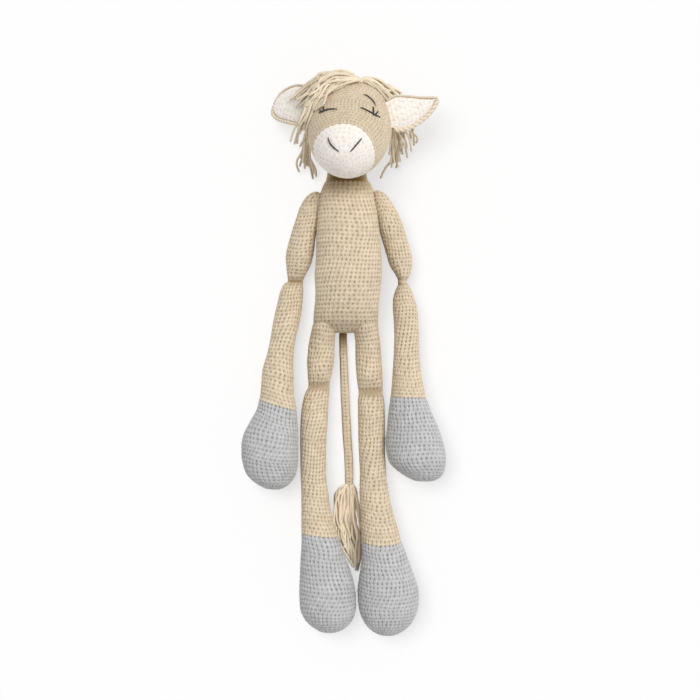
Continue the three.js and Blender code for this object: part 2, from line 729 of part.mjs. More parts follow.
function makeArm(side, sign, level, foreLength, handLength) {
  piece(`${side}_shoulder_seam`, shoulderSeam(sign), beigeYarn());
  const upperNames = { skin: `${side}_upper_arm_skin`, fill: `${side}_upper_arm_stuffing` };
  makeInnerLimb(upperNames, upperArmForm(sign, level));
  piece(`${side}_elbow_seam`, seamThread(elbowAt(sign), level), beigeYarn());
  const names = {
    skin: `${side}_forearm_skin`,
    hoof: `${side}_hand_hoof_skin`,
    fill: `${side}_forearm_stuffing`,
  };
  makeHoofedLimb(names, forearmForm(sign, level, foreLength, handLength), foreLength);
}

// Tail: a crocheted cord with a yarn tassel, lying between the legs
function tailRoot() {
  return point(torsoAt(SEAT_Y).x + TAIL_ASIDE, SEAT_Y - TAIL_R - GAP / 2, TAIL_R + GAP);
}

function makeTail() {
  const root = tailRoot();
  const tasselTop = root.y - TAIL_LENGTH - GAP;
  const tasselZ = TASSEL_HIGH + GAP;
  const bend = (along) => root.x + TAIL_BEND * bendShare(along, 0, TAIL_LENGTH) ** 1.5;
  const spot = (along) => point(bend(along), root.y - along, root.z);
  const round = [...roundTop(TAIL_R), { along: 0, r: TAIL_R }, { along: TAIL_LENGTH / 2, r: TAIL_R }];
  round.push({ along: TAIL_LENGTH, r: TAIL_R });
  const keys = round.map(({ along, r }) => ({ along, at: spot(along), wide: r, high: r }));
  const tail = softForm(keys);
  piece('tail', swept(tail, { from: keys[0].along, to: TAIL_LENGTH, sides: LOCK_SIDES }), beigeYarn());
  const bunch = TASSEL_FULLNESS.map(([share, full]) => ({
    along: share * TASSEL_LENGTH,
    at: point(bend(TAIL_LENGTH) + TASSEL_LEAN * share ** 2, tasselTop - share * TASSEL_LENGTH, tasselZ),
    wide: TASSEL_HALF * full,
    high: TASSEL_HIGH * full,
  }));
  const strands = swept(softForm(bunch), { from: 0, to: TASSEL_LENGTH, sides: LOCK_SIDES });
  piece('tassel', strands, plyYarn());
}

makeTorso();
makeHead();
makeEar('right', -1, RIGHT_EAR_DROOP);
makeEar('left', 1, LEFT_EAR_DROOP);
makeFace();
makeMane();
makeArm('right', -1, true, RIGHT_FOREARM_LENGTH, RIGHT_HAND_LENGTH);
makeArm('left', 1, false, LEFT_FOREARM_LENGTH, LEFT_HAND_LENGTH);
makeLeg('right', -1);
makeLeg('left', 1);
makeTail();

// Where the toy bends: each place lies on the axis of its seam
const places = { neck: point(neckX, neckSeamY, neckZ), tail: tailRoot() };
for (const [side, sign] of [['right', -1], ['left', 1]]) {
  places[`${side}_shoulder`] = shoulderAt(sign);
  places[`${side}_elbow`] = elbowAt(sign);
  places[`${side}_hip`] = point(hipX(sign), HIP_Y, hipZ);
  places[`${side}_knee`] = kneeAt(sign);
  const frame = earFrame(sign, sign < 0 ? RIGHT_EAR_DROOP : LEFT_EAR_DROOP);
  const behind = sign < 0 ? -WALL : 0;
  places[`${side}_ear`] = point(0, 0, behind).applyMatrix4(frame);
  places[`${side}_ear_axis`] = new THREE.Vector3().setFromMatrixColumn(frame, 1);
}
cow.userData.bends = places;

export default cow;
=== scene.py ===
# %% [markdown]
# # A crocheted cow, stitch by stitch
#
# The toy is a long-limbed cow in beige cotton yarn. It lies on its back and is seen from straight above.
# Every skin is single crochet: rows of small V-shaped stitches with one hole at the foot of each V. That
# pattern is what the eye reads first, so the skins get real stitch relief in their meshes, and the
# finishes only add what is finer than a stitch.
#
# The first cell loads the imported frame. All places below are in millimetres in that frame, and the helper
# that makes a mesh turns them into metres.

# %% Load the frame
import json
import math

import bmesh
import bpy
import numpy as np
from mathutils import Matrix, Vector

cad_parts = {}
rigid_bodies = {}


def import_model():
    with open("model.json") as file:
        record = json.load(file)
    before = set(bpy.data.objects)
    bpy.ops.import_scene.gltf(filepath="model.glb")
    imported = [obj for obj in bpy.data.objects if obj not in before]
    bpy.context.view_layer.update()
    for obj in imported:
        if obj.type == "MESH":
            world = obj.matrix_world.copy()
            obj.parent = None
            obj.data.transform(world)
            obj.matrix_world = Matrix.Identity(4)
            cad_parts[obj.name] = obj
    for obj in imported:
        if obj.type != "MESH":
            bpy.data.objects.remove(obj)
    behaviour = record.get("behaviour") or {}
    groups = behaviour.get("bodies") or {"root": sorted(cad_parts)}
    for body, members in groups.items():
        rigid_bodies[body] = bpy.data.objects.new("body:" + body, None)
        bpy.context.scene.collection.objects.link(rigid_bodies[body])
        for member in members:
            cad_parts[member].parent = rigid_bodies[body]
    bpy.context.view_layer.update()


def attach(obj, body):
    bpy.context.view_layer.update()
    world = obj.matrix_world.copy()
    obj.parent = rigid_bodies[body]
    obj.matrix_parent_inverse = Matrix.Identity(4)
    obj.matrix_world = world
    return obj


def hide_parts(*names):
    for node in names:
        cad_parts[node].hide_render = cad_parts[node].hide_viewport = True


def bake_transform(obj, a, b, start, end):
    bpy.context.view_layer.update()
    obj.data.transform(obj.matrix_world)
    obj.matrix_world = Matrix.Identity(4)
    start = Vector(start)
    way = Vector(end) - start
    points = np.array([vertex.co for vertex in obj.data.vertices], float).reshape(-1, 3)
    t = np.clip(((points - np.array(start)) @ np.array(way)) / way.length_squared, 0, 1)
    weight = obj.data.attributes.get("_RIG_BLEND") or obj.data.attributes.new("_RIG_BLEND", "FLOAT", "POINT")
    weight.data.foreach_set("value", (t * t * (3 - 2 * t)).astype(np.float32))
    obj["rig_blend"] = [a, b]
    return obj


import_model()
MM = 0.001
scene = bpy.context.scene

# %% [markdown]
# ## Camera and lamps
#
# The photograph looks straight down on the toy from about a metre and a half, so a 100 mm lens hangs over
# it, with the toy's +Y axis up in the picture. Half of the light is an even sky and half is a broad, soft
# lamp. The two are set so that a colour renders about as written.
#
# The toy is lit from the upper right, but its shadows on the paper fall to the lower right. One lamp
# can't do both, so there are two: light linking, further down, lets one light the toy and the other the
# paper.

# %% Camera and lamps
CAMERA_AT = (1.5, -66, 1478)
SKY = 0.5
LAMP_BREADTH = 34

camera = bpy.data.objects.new("camera", bpy.data.cameras.new("camera"))
camera.data.lens = 100
camera.data.sensor_width = 36
camera.location = [c * MM for c in CAMERA_AT]
scene.collection.objects.link(camera)
scene.camera = camera
scene.view_settings.view_transform = "Standard"


def soft_lamp(name, up, right):
    """A broad sun lamp that leans by these degrees towards the picture's top and right."""
    lean_up, lean_right = math.radians(up), math.radians(right)
    lamp = bpy.data.objects.new(name, bpy.data.lights.new(name, "SUN"))
    lamp.data.energy = (1 - SKY) * math.pi / (math.cos(lean_up) * math.cos(lean_right))
    lamp.data.angle = math.radians(LAMP_BREADTH)
    lamp.rotation_euler = (-lean_up, lean_right, 0)
    scene.collection.objects.link(lamp)
    print(name, "strength", round(lamp.data.energy, 2))
    return lamp


toy_lamp = soft_lamp("toy_lamp", up=20, right=20)
paper_lamp = soft_lamp("paper_lamp", up=13, right=-14)

# %% [markdown]
# ## Colours and nodes
#
# Colours are written as sRGB hex values, the way a colour picker shows them, and one function turns them
# into the linear values that shaders use. One more function adds a node to a tree with its settings,
# values and links.


# %% Colours and nodes
def colour(hex_code):
    parts = [int(hex_code[i : i + 2], 16) / 255 for i in (1, 3, 5)]
    return [p / 12.92 if p <= 0.04045 else ((p + 0.055) / 1.055) ** 2.4 for p in parts] + [1.0]


def empty_tree(owner):
    """Turns on the nodes of a material or a world and clears them."""
    owner.use_nodes = True
    owner.node_tree.nodes.clear()
    return owner.node_tree


def add_node(tree, kind, inputs=None, **settings):
    """Adds a node with its settings, links and values, and gives its outputs."""
    node = tree.nodes.new(kind)
    for name, value in settings.items():
        setattr(node, name, value)
    for name, value in (inputs or {}).items():
        if isinstance(value, bpy.types.NodeSocket):
            tree.links.new(value, node.inputs[name])
        else:
            node.inputs[name].default_value = value
    return node.outputs


print("a mid grey in linear light is", round(colour("#808080")[0], 3))

# %% [markdown]
# ## Sky
#
# The background of the photograph is plain white. More light would wash out the toy, so the sky has two
# strengths instead: Light Path tells the rays that show the sky to the camera, straight, mirrored or
# through glass, from the rays that only light the toy. The first see white, and the others get the sky's
# real strength.


# %% Sky
def seen_rays(tree):
    """One on a ray by which the camera sees a surface, and zero on the others."""
    ray = add_node(tree, "ShaderNodeLightPath")
    seen = ray["Is Camera Ray"]
    for kind in ("Is Glossy Ray", "Is Transmission Ray"):
        seen = add_node(tree, "ShaderNodeMath", {0: seen, 1: ray[kind]}, operation="MAXIMUM")[0]
    return seen


world = bpy.data.worlds.new("studio_sky")
scene.world = world
sky = empty_tree(world)
strength = add_node(sky, "ShaderNodeMapRange", {"Value": seen_rays(sky), "To Min": SKY, "To Max": 1.0})[0]
even = add_node(sky, "ShaderNodeBackground", {"Color": (1, 1, 1, 1), "Strength": strength})[0]
add_node(sky, "ShaderNodeOutputWorld", {"Surface": even})
print("the sky lights the toy with", SKY, "and looks white")

# %% [markdown]
# ## Paper
#
# The toy lies on a sheet of white paper, which is matt and takes soft shadows. In the photograph only the
# shadows close to the limbs are left, as if the rest were washed out, so what the camera sees of the
# paper is mixed with plain white. A weaker lamp would only turn the paper grey. The lamps' receivers are
# set here too: the first lamp skips the paper, and the second lights nothing else.

# %% Paper
WASH = 0.6
PAPER_HALF = 4
PAPER_GAP = 0.2

bm = bmesh.new()
bmesh.ops.create_grid(bm, x_segments=4, y_segments=4, size=PAPER_HALF)
bmesh.ops.translate(bm, verts=bm.verts, vec=(0, 0, -PAPER_GAP * MM))
floor = bpy.data.objects.new("floor", bpy.data.meshes.new("floor"))
bm.to_mesh(floor.data)
bm.free()
scene.collection.objects.link(floor)

paper = bpy.data.materials.new("white_paper")
tree = empty_tree(paper)
matt = add_node(tree, "ShaderNodeBsdfDiffuse", {"Color": colour("#FDFDFD")})[0]
white = add_node(tree, "ShaderNodeEmission", {"Color": colour("#FFFFFF"), "Strength": 1.0})[0]
wash = add_node(tree, "ShaderNodeMath", {0: seen_rays(tree), 1: WASH}, operation="MULTIPLY")[0]
washed = add_node(tree, "ShaderNodeMixShader", {0: wash, 1: matt, 2: white})[0]
add_node(tree, "ShaderNodeOutputMaterial", {"Surface": washed})
floor.data.materials.append(paper)

for lamp, share in ((toy_lamp, "EXCLUDE"), (paper_lamp, "INCLUDE")):
    lit = bpy.data.collections.new(f"{lamp.name}_{share.lower()}")
    lit.objects.link(floor)
    lit.collection_objects[0].light_linking.link_state = share
    lamp.light_linking.receiver_collection = lit
print("paper", 2 * PAPER_HALF, "m across, washed by", WASH)

# %% [markdown]
# ## Cotton yarn
#
# The skins are plain cotton, spun and plied. That gives the eye a matt surface: no metal, a high
# roughness, little shine, and a faint sheen from loose fibres. An image of knitting would repeat and
# slide over the forms, so each mesh point carries three values that are made with the stitches: how much
# painted shade it gets, most in a hole, a tone of its stitch's own, and where it is along the twist of the
# yarn.
#
# The finish mixes a darker colour into the holes and grooves as painted shade, varies the tone, adds fibre
# noise of a third of a millimetre and slow clouds of 14 mm, and raises the twist as a bump.

# %% The yarn finish
POINT_VALUES = ("hollow", "tone", "ply")
FIBRE = 0.33
CLOUD = 14
TWIST_HEIGHT = 0.25


def cotton_yarn(name, yarn, hollow, variation=0.06, twist_bump=0.25):
    material = bpy.data.materials.new(name)
    tree = empty_tree(material)
    deep, tone, ply = [add_node(tree, "ShaderNodeAttribute", attribute_name=v)["Fac"] for v in POINT_VALUES]
    place = add_node(tree, "ShaderNodeTexCoord")["Object"]
    fine = {"Vector": place, "Scale": 1 / (FIBRE * MM), "Detail": 3.0, "Roughness": 0.6}
    fibre = add_node(tree, "ShaderNodeTexNoise", fine)["Fac"]
    slow = {"Vector": place, "Scale": 1 / (CLOUD * MM), "Detail": 2.0}
    cloud = add_node(tree, "ShaderNodeTexNoise", slow)["Fac"]

    # The second colour is painted shade in hollows, and a hollow value over one paints it deeper still.
    # Sockets 6 and 7 of a Mix node are its two colours, and output 2 is the mixed one.
    colours = {"Factor": deep, 6: colour(yarn), 7: colour(hollow)}
    mixed = add_node(tree, "ShaderNodeMix", colours, data_type="RGBA", clamp_factor=False)[2]
    stitch = {"Value": tone, "To Min": 1 - variation, "To Max": 1 + variation}
    value = add_node(tree, "ShaderNodeMapRange", stitch, clamp=False)[0]
    for noise, change in ((fibre, 0.07), (cloud, 0.03)):
        levels = {"From Min": 0.3, "From Max": 0.7, "To Min": 1 - change, "To Max": 1 + change}
        factor = add_node(tree, "ShaderNodeMapRange", {"Value": noise, **levels})[0]
        value = add_node(tree, "ShaderNodeMath", {0: value, 1: factor}, operation="MULTIPLY")[0]
    tone_and_painted_shade = add_node(tree, "ShaderNodeHueSaturation", {"Color": mixed, "Value": value})["Color"]

    rope = add_node(tree, "ShaderNodeMath", {0: ply}, operation="SINE")[0]
    rope = add_node(tree, "ShaderNodeMath", {0: rope, 1: 0.5, 2: 0.5}, operation="MULTIPLY_ADD")[0]
    height = add_node(tree, "ShaderNodeMath", {0: fibre, 1: 0.8, 2: rope}, operation="MULTIPLY_ADD")[0]
    raised = {"Height": height, "Strength": twist_bump, "Distance": TWIST_HEIGHT * MM}
    bump = add_node(tree, "ShaderNodeBump", raised)[0]
    surface = {"Base Color": tone_and_painted_shade, "Normal": bump, "Roughness": 0.92, "IOR": 1.5}
    surface |= {"Specular IOR Level": 0.25, "Sheen Weight": 0.12, "Sheen Roughness": 0.5}
    shader = add_node(tree, "ShaderNodeBsdfPrincipled", surface)[0]
    add_node(tree, "ShaderNodeOutputMaterial", {"Surface": shader})
    return material


print("fibre noise", FIBRE, "mm and clouds", CLOUD, "mm")

# %% [markdown]
# Five yarns share that finish. They differ in colour, in how dark the painted shade in their holes is, and
# in how much their tone and their twist vary.

# %% Yarn colours
# Tight beige stitches give a warm, matt face, with dark painted shade in the holes.
beige_cotton = cotton_yarn("beige_cotton_crochet", "#E8D7BD", "#9F8866")
# The hooves' grey is as tight and as matt, without the warmth.
grey_cotton = cotton_yarn("grey_cotton_crochet", "#CCCCCC", "#868686")
# Thick white yarn lets light through, so its painted hole shade is pale and warm and its stitches look
# alike.
white_cotton = cotton_yarn("white_cotton_crochet", "#FFFAF2", "#EAD6C9", variation=0.03)
# Loose lengths differ one by one and lower layers get painted shade, so tone and twist vary most here.
loose_cotton = cotton_yarn("loose_plied_cotton", "#F4E6CE", "#94764C", variation=0.2, twist_bump=0.35)
# Charcoal thread gives back so little light that only its twist shows.
dark_thread = cotton_yarn("charcoal_embroidery_cotton", "#444240", "#232120", variation=0.1)
SLOTS = {
    beige_cotton.name: "beige_yarn",
    grey_cotton.name: "grey_yarn",
    white_cotton.name: "white_yarn",
    loose_cotton.name: "ply_yarn",
    dark_thread.name: "dark_thread",
}
print("yarn finishes:", list(SLOTS))

# %% [markdown]
# ## Torso
#
# The torso is a stuffed tube, widest at the belly, that closes between the thighs and is flat only where
# the toy lies on it. A sculpted blob could have its shape, but stitches have to know where they are along
# it and round it. So the form is a function of those two shares. Sections measured down the toy give its
# edges, the height of its middle and its half height, and they run on smoothly from one to the next.


# %% The torso's form
def running(knots, values, at):
    """A smooth run through values at knots that does not overshoot them, read at other places."""
    knots, values, at = (np.asarray(x, float) for x in (knots, values, at))
    secants = np.diff(values) / np.diff(knots)
    before, after = np.append(secants[0], secants), np.append(secants, secants[-1])
    limit = 3 * np.minimum(np.abs(before), np.abs(after)) * (before * after > 0)
    slopes = np.clip(np.gradient(values, knots), -limit, limit)
    i = np.clip(np.searchsorted(knots, at, side="right") - 1, 0, len(knots) - 2)
    gap = knots[i + 1] - knots[i]
    t = (at - knots[i]) / gap
    start = (1 + 2 * t) * (1 - t) ** 2 * values[i] + t * (1 - t) ** 2 * gap * slopes[i]
    return start + t**2 * (3 - 2 * t) * values[i + 1] + t**2 * (t - 1) * gap * slopes[i + 1]


def limb_form(sections, slant=None):
    """From sections (y, left x, right x, middle z, half height) to places by shares along and round."""
    y, left, right, z, high = np.array(sections, float).T
    middle, wide = (left + right) / 2, (right - left) / 2
    along = np.concatenate([[0], np.cumsum(np.hypot(np.diff(y), np.diff(wide)))])
    fine = np.linspace(0, along[-1], 600)
    runs = {k: running(along, v, fine) for k, v in dict(y=y, x=middle, w=wide, z=z, h=high).items()}
    walked = np.hypot(np.gradient(runs["y"]), np.gradient(np.maximum(runs["w"], runs["h"])))
    walked = np.cumsum(walked) - walked[0]
    walked /= walked[-1]

    def form(share, turn):
        at = {k: np.interp(share, walked, np.maximum(v, 0) if k in "wh" else v) for k, v in runs.items()}
        angle = 2 * np.pi * turn - np.pi / 2
        across = at["w"][:, None] * np.cos(angle)[None]
        raised = at["h"][:, None] * np.sin(angle)[None]
        x, z_up = at["x"][:, None] + across, at["z"][:, None] + raised
        lean = 0 * x if slant is None else slant(at["y"], across, raised)
        return np.stack([x, at["y"][:, None] + lean, z_up], axis=2)

    return form


def girths(form, shares):
    """How far it is round a form at some shares of its length."""
    rings = form(shares, np.linspace(0, 1, 121))
    return np.linalg.norm(np.diff(rings, axis=1), axis=2).sum(axis=1)


torso_form = limb_form([
    (60, -17.4, 16.4, 15.8, 16.2), (57, -18.8, 17.9, 16, 16.5), (46.5, -21.8, 20, 18.6, 19.1),
    (34, -22.9, 22.1, 20.6, 21.1), (24, -23.4, 23.4, 21.8, 22.3), (1.5, -24, 25, 23.2, 23.7),
    (-10, -24.8, 25.2, 23.7, 24.2), (-21, -24.3, 23.9, 23.2, 23.7), (-30, -24.5, 23, 22.2, 22.7),
    (-39, -25.5, 22.6, 20, 20.5), (-45.5, -25.8, 22.4, 16.8, 17.3), (-50, -24.2, 20.6, 12.8, 13),
    (-52.4, -16, 11.8, 9.4, 7.4), (-53, -4, 0, 8, 1), (-53.2, -2, -2, 8, 0),
])
print("torso girths, mm:", girths(torso_form, np.linspace(0.1, 0.9, 5)).round(1).tolist())

# %% [markdown]
# A row of crochet holds as many stitches as its girth needs, and that is how a tube swells and closes.
# The stitches could be laid on an even grid and stretched, but then they would be wide on the belly and
# thin at the ends. So each row's stitches are counted from the girth at its middle.

# %% Stitches in a row
TORSO_ROWS, TORSO_STITCH = 42, 3.4


def stitch_counts(form, rows, width, fewest=6):
    middles = (np.arange(rows) + 0.5) / rows
    return np.maximum(np.round(girths(form, middles) / width), fewest).astype(int)


torso_counts = stitch_counts(torso_form, TORSO_ROWS, TORSO_STITCH)
print("torso:", TORSO_ROWS, "rows of", torso_counts.min(), "to", torso_counts.max(), "stitches")

# %% [markdown]
# A single crochet stitch shows two legs of yarn that leave one hole and spread to the next row, where the
# next stitches pull them down. The relief is worked out in shares of a stitch: how far a point is from
# the stitch's middle, and how far up its row. Rows are worked in a spiral, so each starts a little
# further round than the last and the columns of holes lean. No two stitches are alike, so rows sway,
# stitches wander, and each has a tone and a looseness of its own.

# %% Stitch relief
# Rises and depths are in millimetres, and the other sizes in shares of a stitch.
LEG_RISE, LEG_MEAN, ROW_DIP = 0.6, 0.55, 0.1
LEG_FOOT, LEG_SPREAD, LEG_HALF = 0.16, 0.26, 0.28
HOLE_DEPTH, HOLE_WIDE, HOLE_TALL = 0.7, 0.22, 0.29
CREASE = 0.2
SWAY, WANDER = 0.22, 0.3
STRAIGHT_ROWS, FULL_ROW = 2.5, 20
TWISTS, TWIST_SLANT = 3.2, 0.45


def step(low, high, x):
    t = np.clip((x - low) / (high - low), 0, 1)
    return t * t * (3 - 2 * t)


def uneven(rng, share, turn, size):
    """A slow wave over the skin, the same at both long edges of the grid."""
    waves = 0
    for around in (1, 1, 2, 3):
        along, start = rng.uniform(-3, 3), rng.uniform(0, 2 * np.pi)
        waves = waves + np.sin(2 * np.pi * (along * share[:, None] + around * turn[None]) + start)
    return size * waves / 2


def stitch_relief(share, turn, counts, foot_last, seed, drift):
    """Height, hollow, tone and twist. A stitch stands on its row's start, or on its end with foot_last."""
    rows = len(counts)
    rng = np.random.default_rng(seed)
    inside = step(0, STRAIGHT_ROWS, np.minimum(share, 1 - share) * rows)[:, None]
    loose = min(counts.max() / FULL_ROW, 1)
    sway = uneven(rng, share, turn, SWAY * loose)
    v = np.clip(share[:, None] * rows + inside * sway, 0, rows - 1e-9)
    row = np.floor(v).astype(int)
    rise = 1 - (v - row) if foot_last else v - row
    upper_row = np.clip(row + (-1 if foot_last else 1), 0, rows - 1)
    wander = uneven(rng, share, turn, WANDER * loose)
    u = turn[None] * counts[row] + drift * row + wander
    u_upper = turn[None] * counts[upper_row] + drift * upper_row + wander
    stitch, stitch_upper = np.floor(u).astype(int), np.floor(u_upper).astype(int)
    side, side_upper = u - stitch - 0.5, u_upper - stitch_upper - 0.5
    from_leg = (np.abs(side) - (LEG_FOOT + LEG_SPREAD * rise)) / LEG_HALF
    leg = np.sqrt(np.clip(1 - from_leg**2, 0, 1)) * (1 - ROW_DIP + ROW_DIP * np.sin(np.pi * rise))
    table = (rows, counts.max() + 5)
    looseness, tones = rng.uniform(0.6, 1.15, table), rng.random(table)
    own, above = looseness[row, stitch % table[1]], looseness[upper_row, stitch_upper % table[1]]
    own_hole = own * np.exp(-((side / HOLE_WIDE) ** 2) - (rise / HOLE_TALL) ** 2)
    next_hole = above * np.exp(-((side_upper / HOLE_WIDE) ** 2) - ((1 - rise) / HOLE_TALL) ** 2)
    hole = np.maximum(own_hole, next_hole)
    tone = tones[row, stitch % table[1]]
    leg *= 0.85 + 0.3 * tone
    ply = 2 * np.pi * (TWISTS * rise + TWIST_SLANT * from_leg * np.sign(side))
    height = LEG_RISE * (leg - LEG_MEAN) - HOLE_DEPTH * hole
    # The hollow value is painted shade: full in the holes, and a little in the creases between legs.
    return height, np.clip(hole + CREASE * (1 - leg) * (1 - hole), 0, 1), tone, ply


print("a leg rises", LEG_RISE, "mm and a hole is", HOLE_DEPTH, "mm deep")

# %% [markdown]
# A crocheted tube is a sheet of stitches wrapped round its stuffing, and the mesh is made the same way:
# one grid with a few squares for each stitch is wrapped round the form, its long edges meet and are
# merged, and each point is pushed in or out by the relief. Where a skin ends open, as at a change of
# colour, a point in the middle of the end closes it, so that every skin is a closed bag.

# %% Wrapping a grid
OPEN_END = 1.0


def new_fabric():
    bm = bmesh.new()
    for name in POINT_VALUES:
        bm.verts.layers.float.new(name)
    return bm


def wrap_grid(bm, places, **values):
    lines, columns = places.shape[:2]
    made = bmesh.ops.create_grid(bm, x_segments=columns - 1, y_segments=lines - 1, size=1)["verts"]
    for vert, place in zip(made, (places.reshape(-1, 3) * MM).tolist()):
        vert.co = place
    for name, value in values.items():
        layer = bm.verts.layers.float[name]
        for vert, number in zip(made, np.broadcast_to(value, (lines, columns)).ravel().tolist()):
            vert[layer] = number


def outward(places):
    round_way = np.gradient(places, axis=1)
    round_way[:, 0] = round_way[:, -1] = places[:, 1] - places[:, -2]
    normal = np.cross(round_way, np.gradient(places, axis=0))
    length = np.linalg.norm(normal, axis=2, keepdims=True)
    normal = np.divide(normal, length, out=np.zeros_like(normal), where=length > 1e-9)
    return normal * np.sign((normal * (places - places.mean(axis=1, keepdims=True))).sum())


def closed(places, *values):
    """Adds a middle to each open end. A pole, or an end sewn flat, has no breadth to close."""
    for end, at in ((-1, len(places)), (0, 0)):
        middle = places[end].mean(axis=0)
        breadth = np.linalg.svd(places[end] - middle, compute_uv=False)[1]
        if breadth > OPEN_END:
            places = np.insert(places, at, middle, axis=0)
            values = [np.insert(value, at, value[end], axis=0) for value in values]
    return places, *values


print("values on each point:", POINT_VALUES)

# %% [markdown]
# Little light gets in beside a seam, under the chin and at the tail's root. A lamp alone can't show
# this, because the real grooves are finer than the mesh. So shade is painted there by raising the yarn's
# hollow value: for two rows beside a flat seam, and for some rows of a skin's upper side that is given
# painted shade of its own.

# %% Crochet
ACROSS, ALONG = 8, 6
LIE_AT = 0.15
SEAM_SHADE, SEAM_ROWS, SEAM_FADE = 0.5, 2.0, 0.8
LEAST_HOLLOW = 0.12


def crochet(
    bm, form, counts, seed, foot_last=True, flat_start=False, flat_end=False, gain=1.0, rest=LIE_AT,
    drift=-0.15, across=ACROSS, dark=0.0, dark_rows=1.0,
):
    share = np.linspace(0, 1, len(counts) * ALONG + 1)
    turn = np.linspace(0, 1, int(counts.max()) * across + 1)
    height, hollow, tone, ply = stitch_relief(share, turn, counts, foot_last, seed, drift)
    rows = share * len(counts)
    from_seam = np.full_like(rows, np.inf)
    if flat_start:
        from_seam = rows
    if flat_end:
        from_seam = np.minimum(from_seam, rows[-1] - rows)
    fade = step(0, SEAM_FADE, from_seam)
    base = form(share, turn)
    places = base + outward(base) * (height * gain * fade[:, None])[:, :, None]
    places[:, -1] = places[:, 0]
    if rest is not None:
        places[:, :, 2] = np.maximum(places[:, :, 2], rest)
    # Painted shade: on a skin's upper side over its first rows, and beside a flat seam.
    upper_side = step(-0.1, 0.9, -np.cos(2 * np.pi * turn))
    upper_painted_shade = dark * (1 - step(0, dark_rows, rows))[:, None] * upper_side[None]
    all_painted_shade = np.maximum(SEAM_SHADE * (1 - step(0, SEAM_ROWS, from_seam))[:, None], upper_painted_shade)
    hollow = all_painted_shade + np.maximum(1 - all_painted_shade, LEAST_HOLLOW) * hollow * (0.6 + 0.4 * gain)
    places, hollow, tone, ply = closed(places, hollow, tone, ply)
    wrap_grid(bm, places, hollow=hollow, tone=tone, ply=ply)


print("a stitch takes", ACROSS, "by", ALONG, "squares")

# %% [markdown]
# A finished piece says which solids it stands for, which body carries it and which yarn it is made of.
# One that spans a joint is blended between two bodies instead.

# %% Torso
LIMB_STITCH = 3.25
MERGE = 1e-7


def finish_piece(bm, name, body, nodes, yarn, slot=None):
    bmesh.ops.remove_doubles(bm, verts=bm.verts, dist=MERGE)
    bmesh.ops.recalc_face_normals(bm, faces=bm.faces)
    mesh = bpy.data.meshes.new(name)
    bm.to_mesh(mesh)
    bm.free()
    mesh.shade_smooth()
    mesh.materials.append(yarn)
    piece = bpy.data.objects.new(name, mesh)
    scene.collection.objects.link(piece)
    if nodes:
        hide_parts(*nodes)
    if body:
        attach(piece, body)
    slot or SLOTS[yarn.name]
    print(f"{name}: {len(mesh.polygons)} faces")
    return piece


def crochet_piece(
    name, form, yarn, rows, body=None, nodes=None, width=LIMB_STITCH, fill=0.9, fewest=6, blend=None, **how
):
    """A piece usually rides on the body of its own name and stands for that body's skin and stuffing."""
    bm = new_fabric()
    counts = stitch_counts(form, rows, width, fewest)
    # The count of objects so far is the seed, so every piece draws stitches of its own.
    crochet(bm, form, counts, seed=len(bpy.data.objects), **how)
    nodes = nodes or (f"{name}_skin", f"{name}_stuffing")
    piece = finish_piece(bm, name, None if blend else body or name, nodes, yarn)
    if blend:
        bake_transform(piece, *blend)


# The torso's first rows get painted shade on their upper side, under the chin.
crochet_piece(
    "torso", torso_form, beige_cotton,
    rows=TORSO_ROWS, width=TORSO_STITCH, drift=-0.25, dark=0.7, dark_rows=5.0,
)

# %% [markdown]
# ## Thighs
#
# A thigh runs on from the torso and ends in a flat seam at the knee. It could be one mesh with the torso,
# but the hip moves. So each thigh is a piece of its own whose top lies inside the torso: the top follows
# the torso and the rest follows the hip, and the fabric bends there and does not tear.

# %% Thighs
right_thigh_form = limb_form([
    (-38, -20.4, -9, 14, 9), (-42, -23.6, -8.8, 15, 13.6), (-47, -26.2, -8.8, 15, 14.6),
    (-52, -27.5, -9.4, 14.2, 13.8), (-60, -29.2, -10.2, 12.2, 11.9), (-72, -30.6, -10.6, 11, 10.4),
    (-83, -30.4, -12.2, 10.9, 9.8), (-88.5, -30, -13.5, 10.9, 6.8), (-92.2, -29.6, -14.2, 10.9, 3.4),
    (-93.6, -29.4, -14.3, 10.9, 1.4), (-93.8, -29.2, -14.4, 10.9, 0),
])
left_thigh_form = limb_form([
    (-38, 4, 16.4, 14, 9), (-42, 4.2, 20, 15, 13.6), (-47, 4.4, 22.2, 15, 14.6),
    (-52, 4.8, 22.9, 14.2, 13.8), (-60, 5.6, 24, 12.2, 11.9), (-72, 5.8, 24.9, 11, 10.4),
    (-84, 6.4, 25.8, 10.9, 10), (-92, 7.4, 26, 10.9, 7.2), (-96.6, 8.2, 25.8, 10.9, 3.4),
    (-98, 8.6, 25.6, 10.9, 1.4), (-98.2, 8.8, 25.4, 10.9, 0),
])
for side, form, rows, x in (
    ("right", right_thigh_form, 18, -0.0203),
    ("left", left_thigh_form, 19, 0.0155),
):
    crochet_piece(
        f"{side}_thigh", form, beige_cotton,
        rows=rows, flat_end=True, fewest=18,
        blend=("torso", f"{side}_thigh", (x, -0.048, 0.011), (x, -0.066, 0.011)),
    )

# %% [markdown]
# ## Shanks and foot hooves
#
# Below the knee a leg is worked in one go, from the flat seam to the end of the hoof. It narrows a little
# at the calf and swells into the hoof. A mirrored copy would save work, but the two legs differ, as hand
# work does, so each has sections of its own.

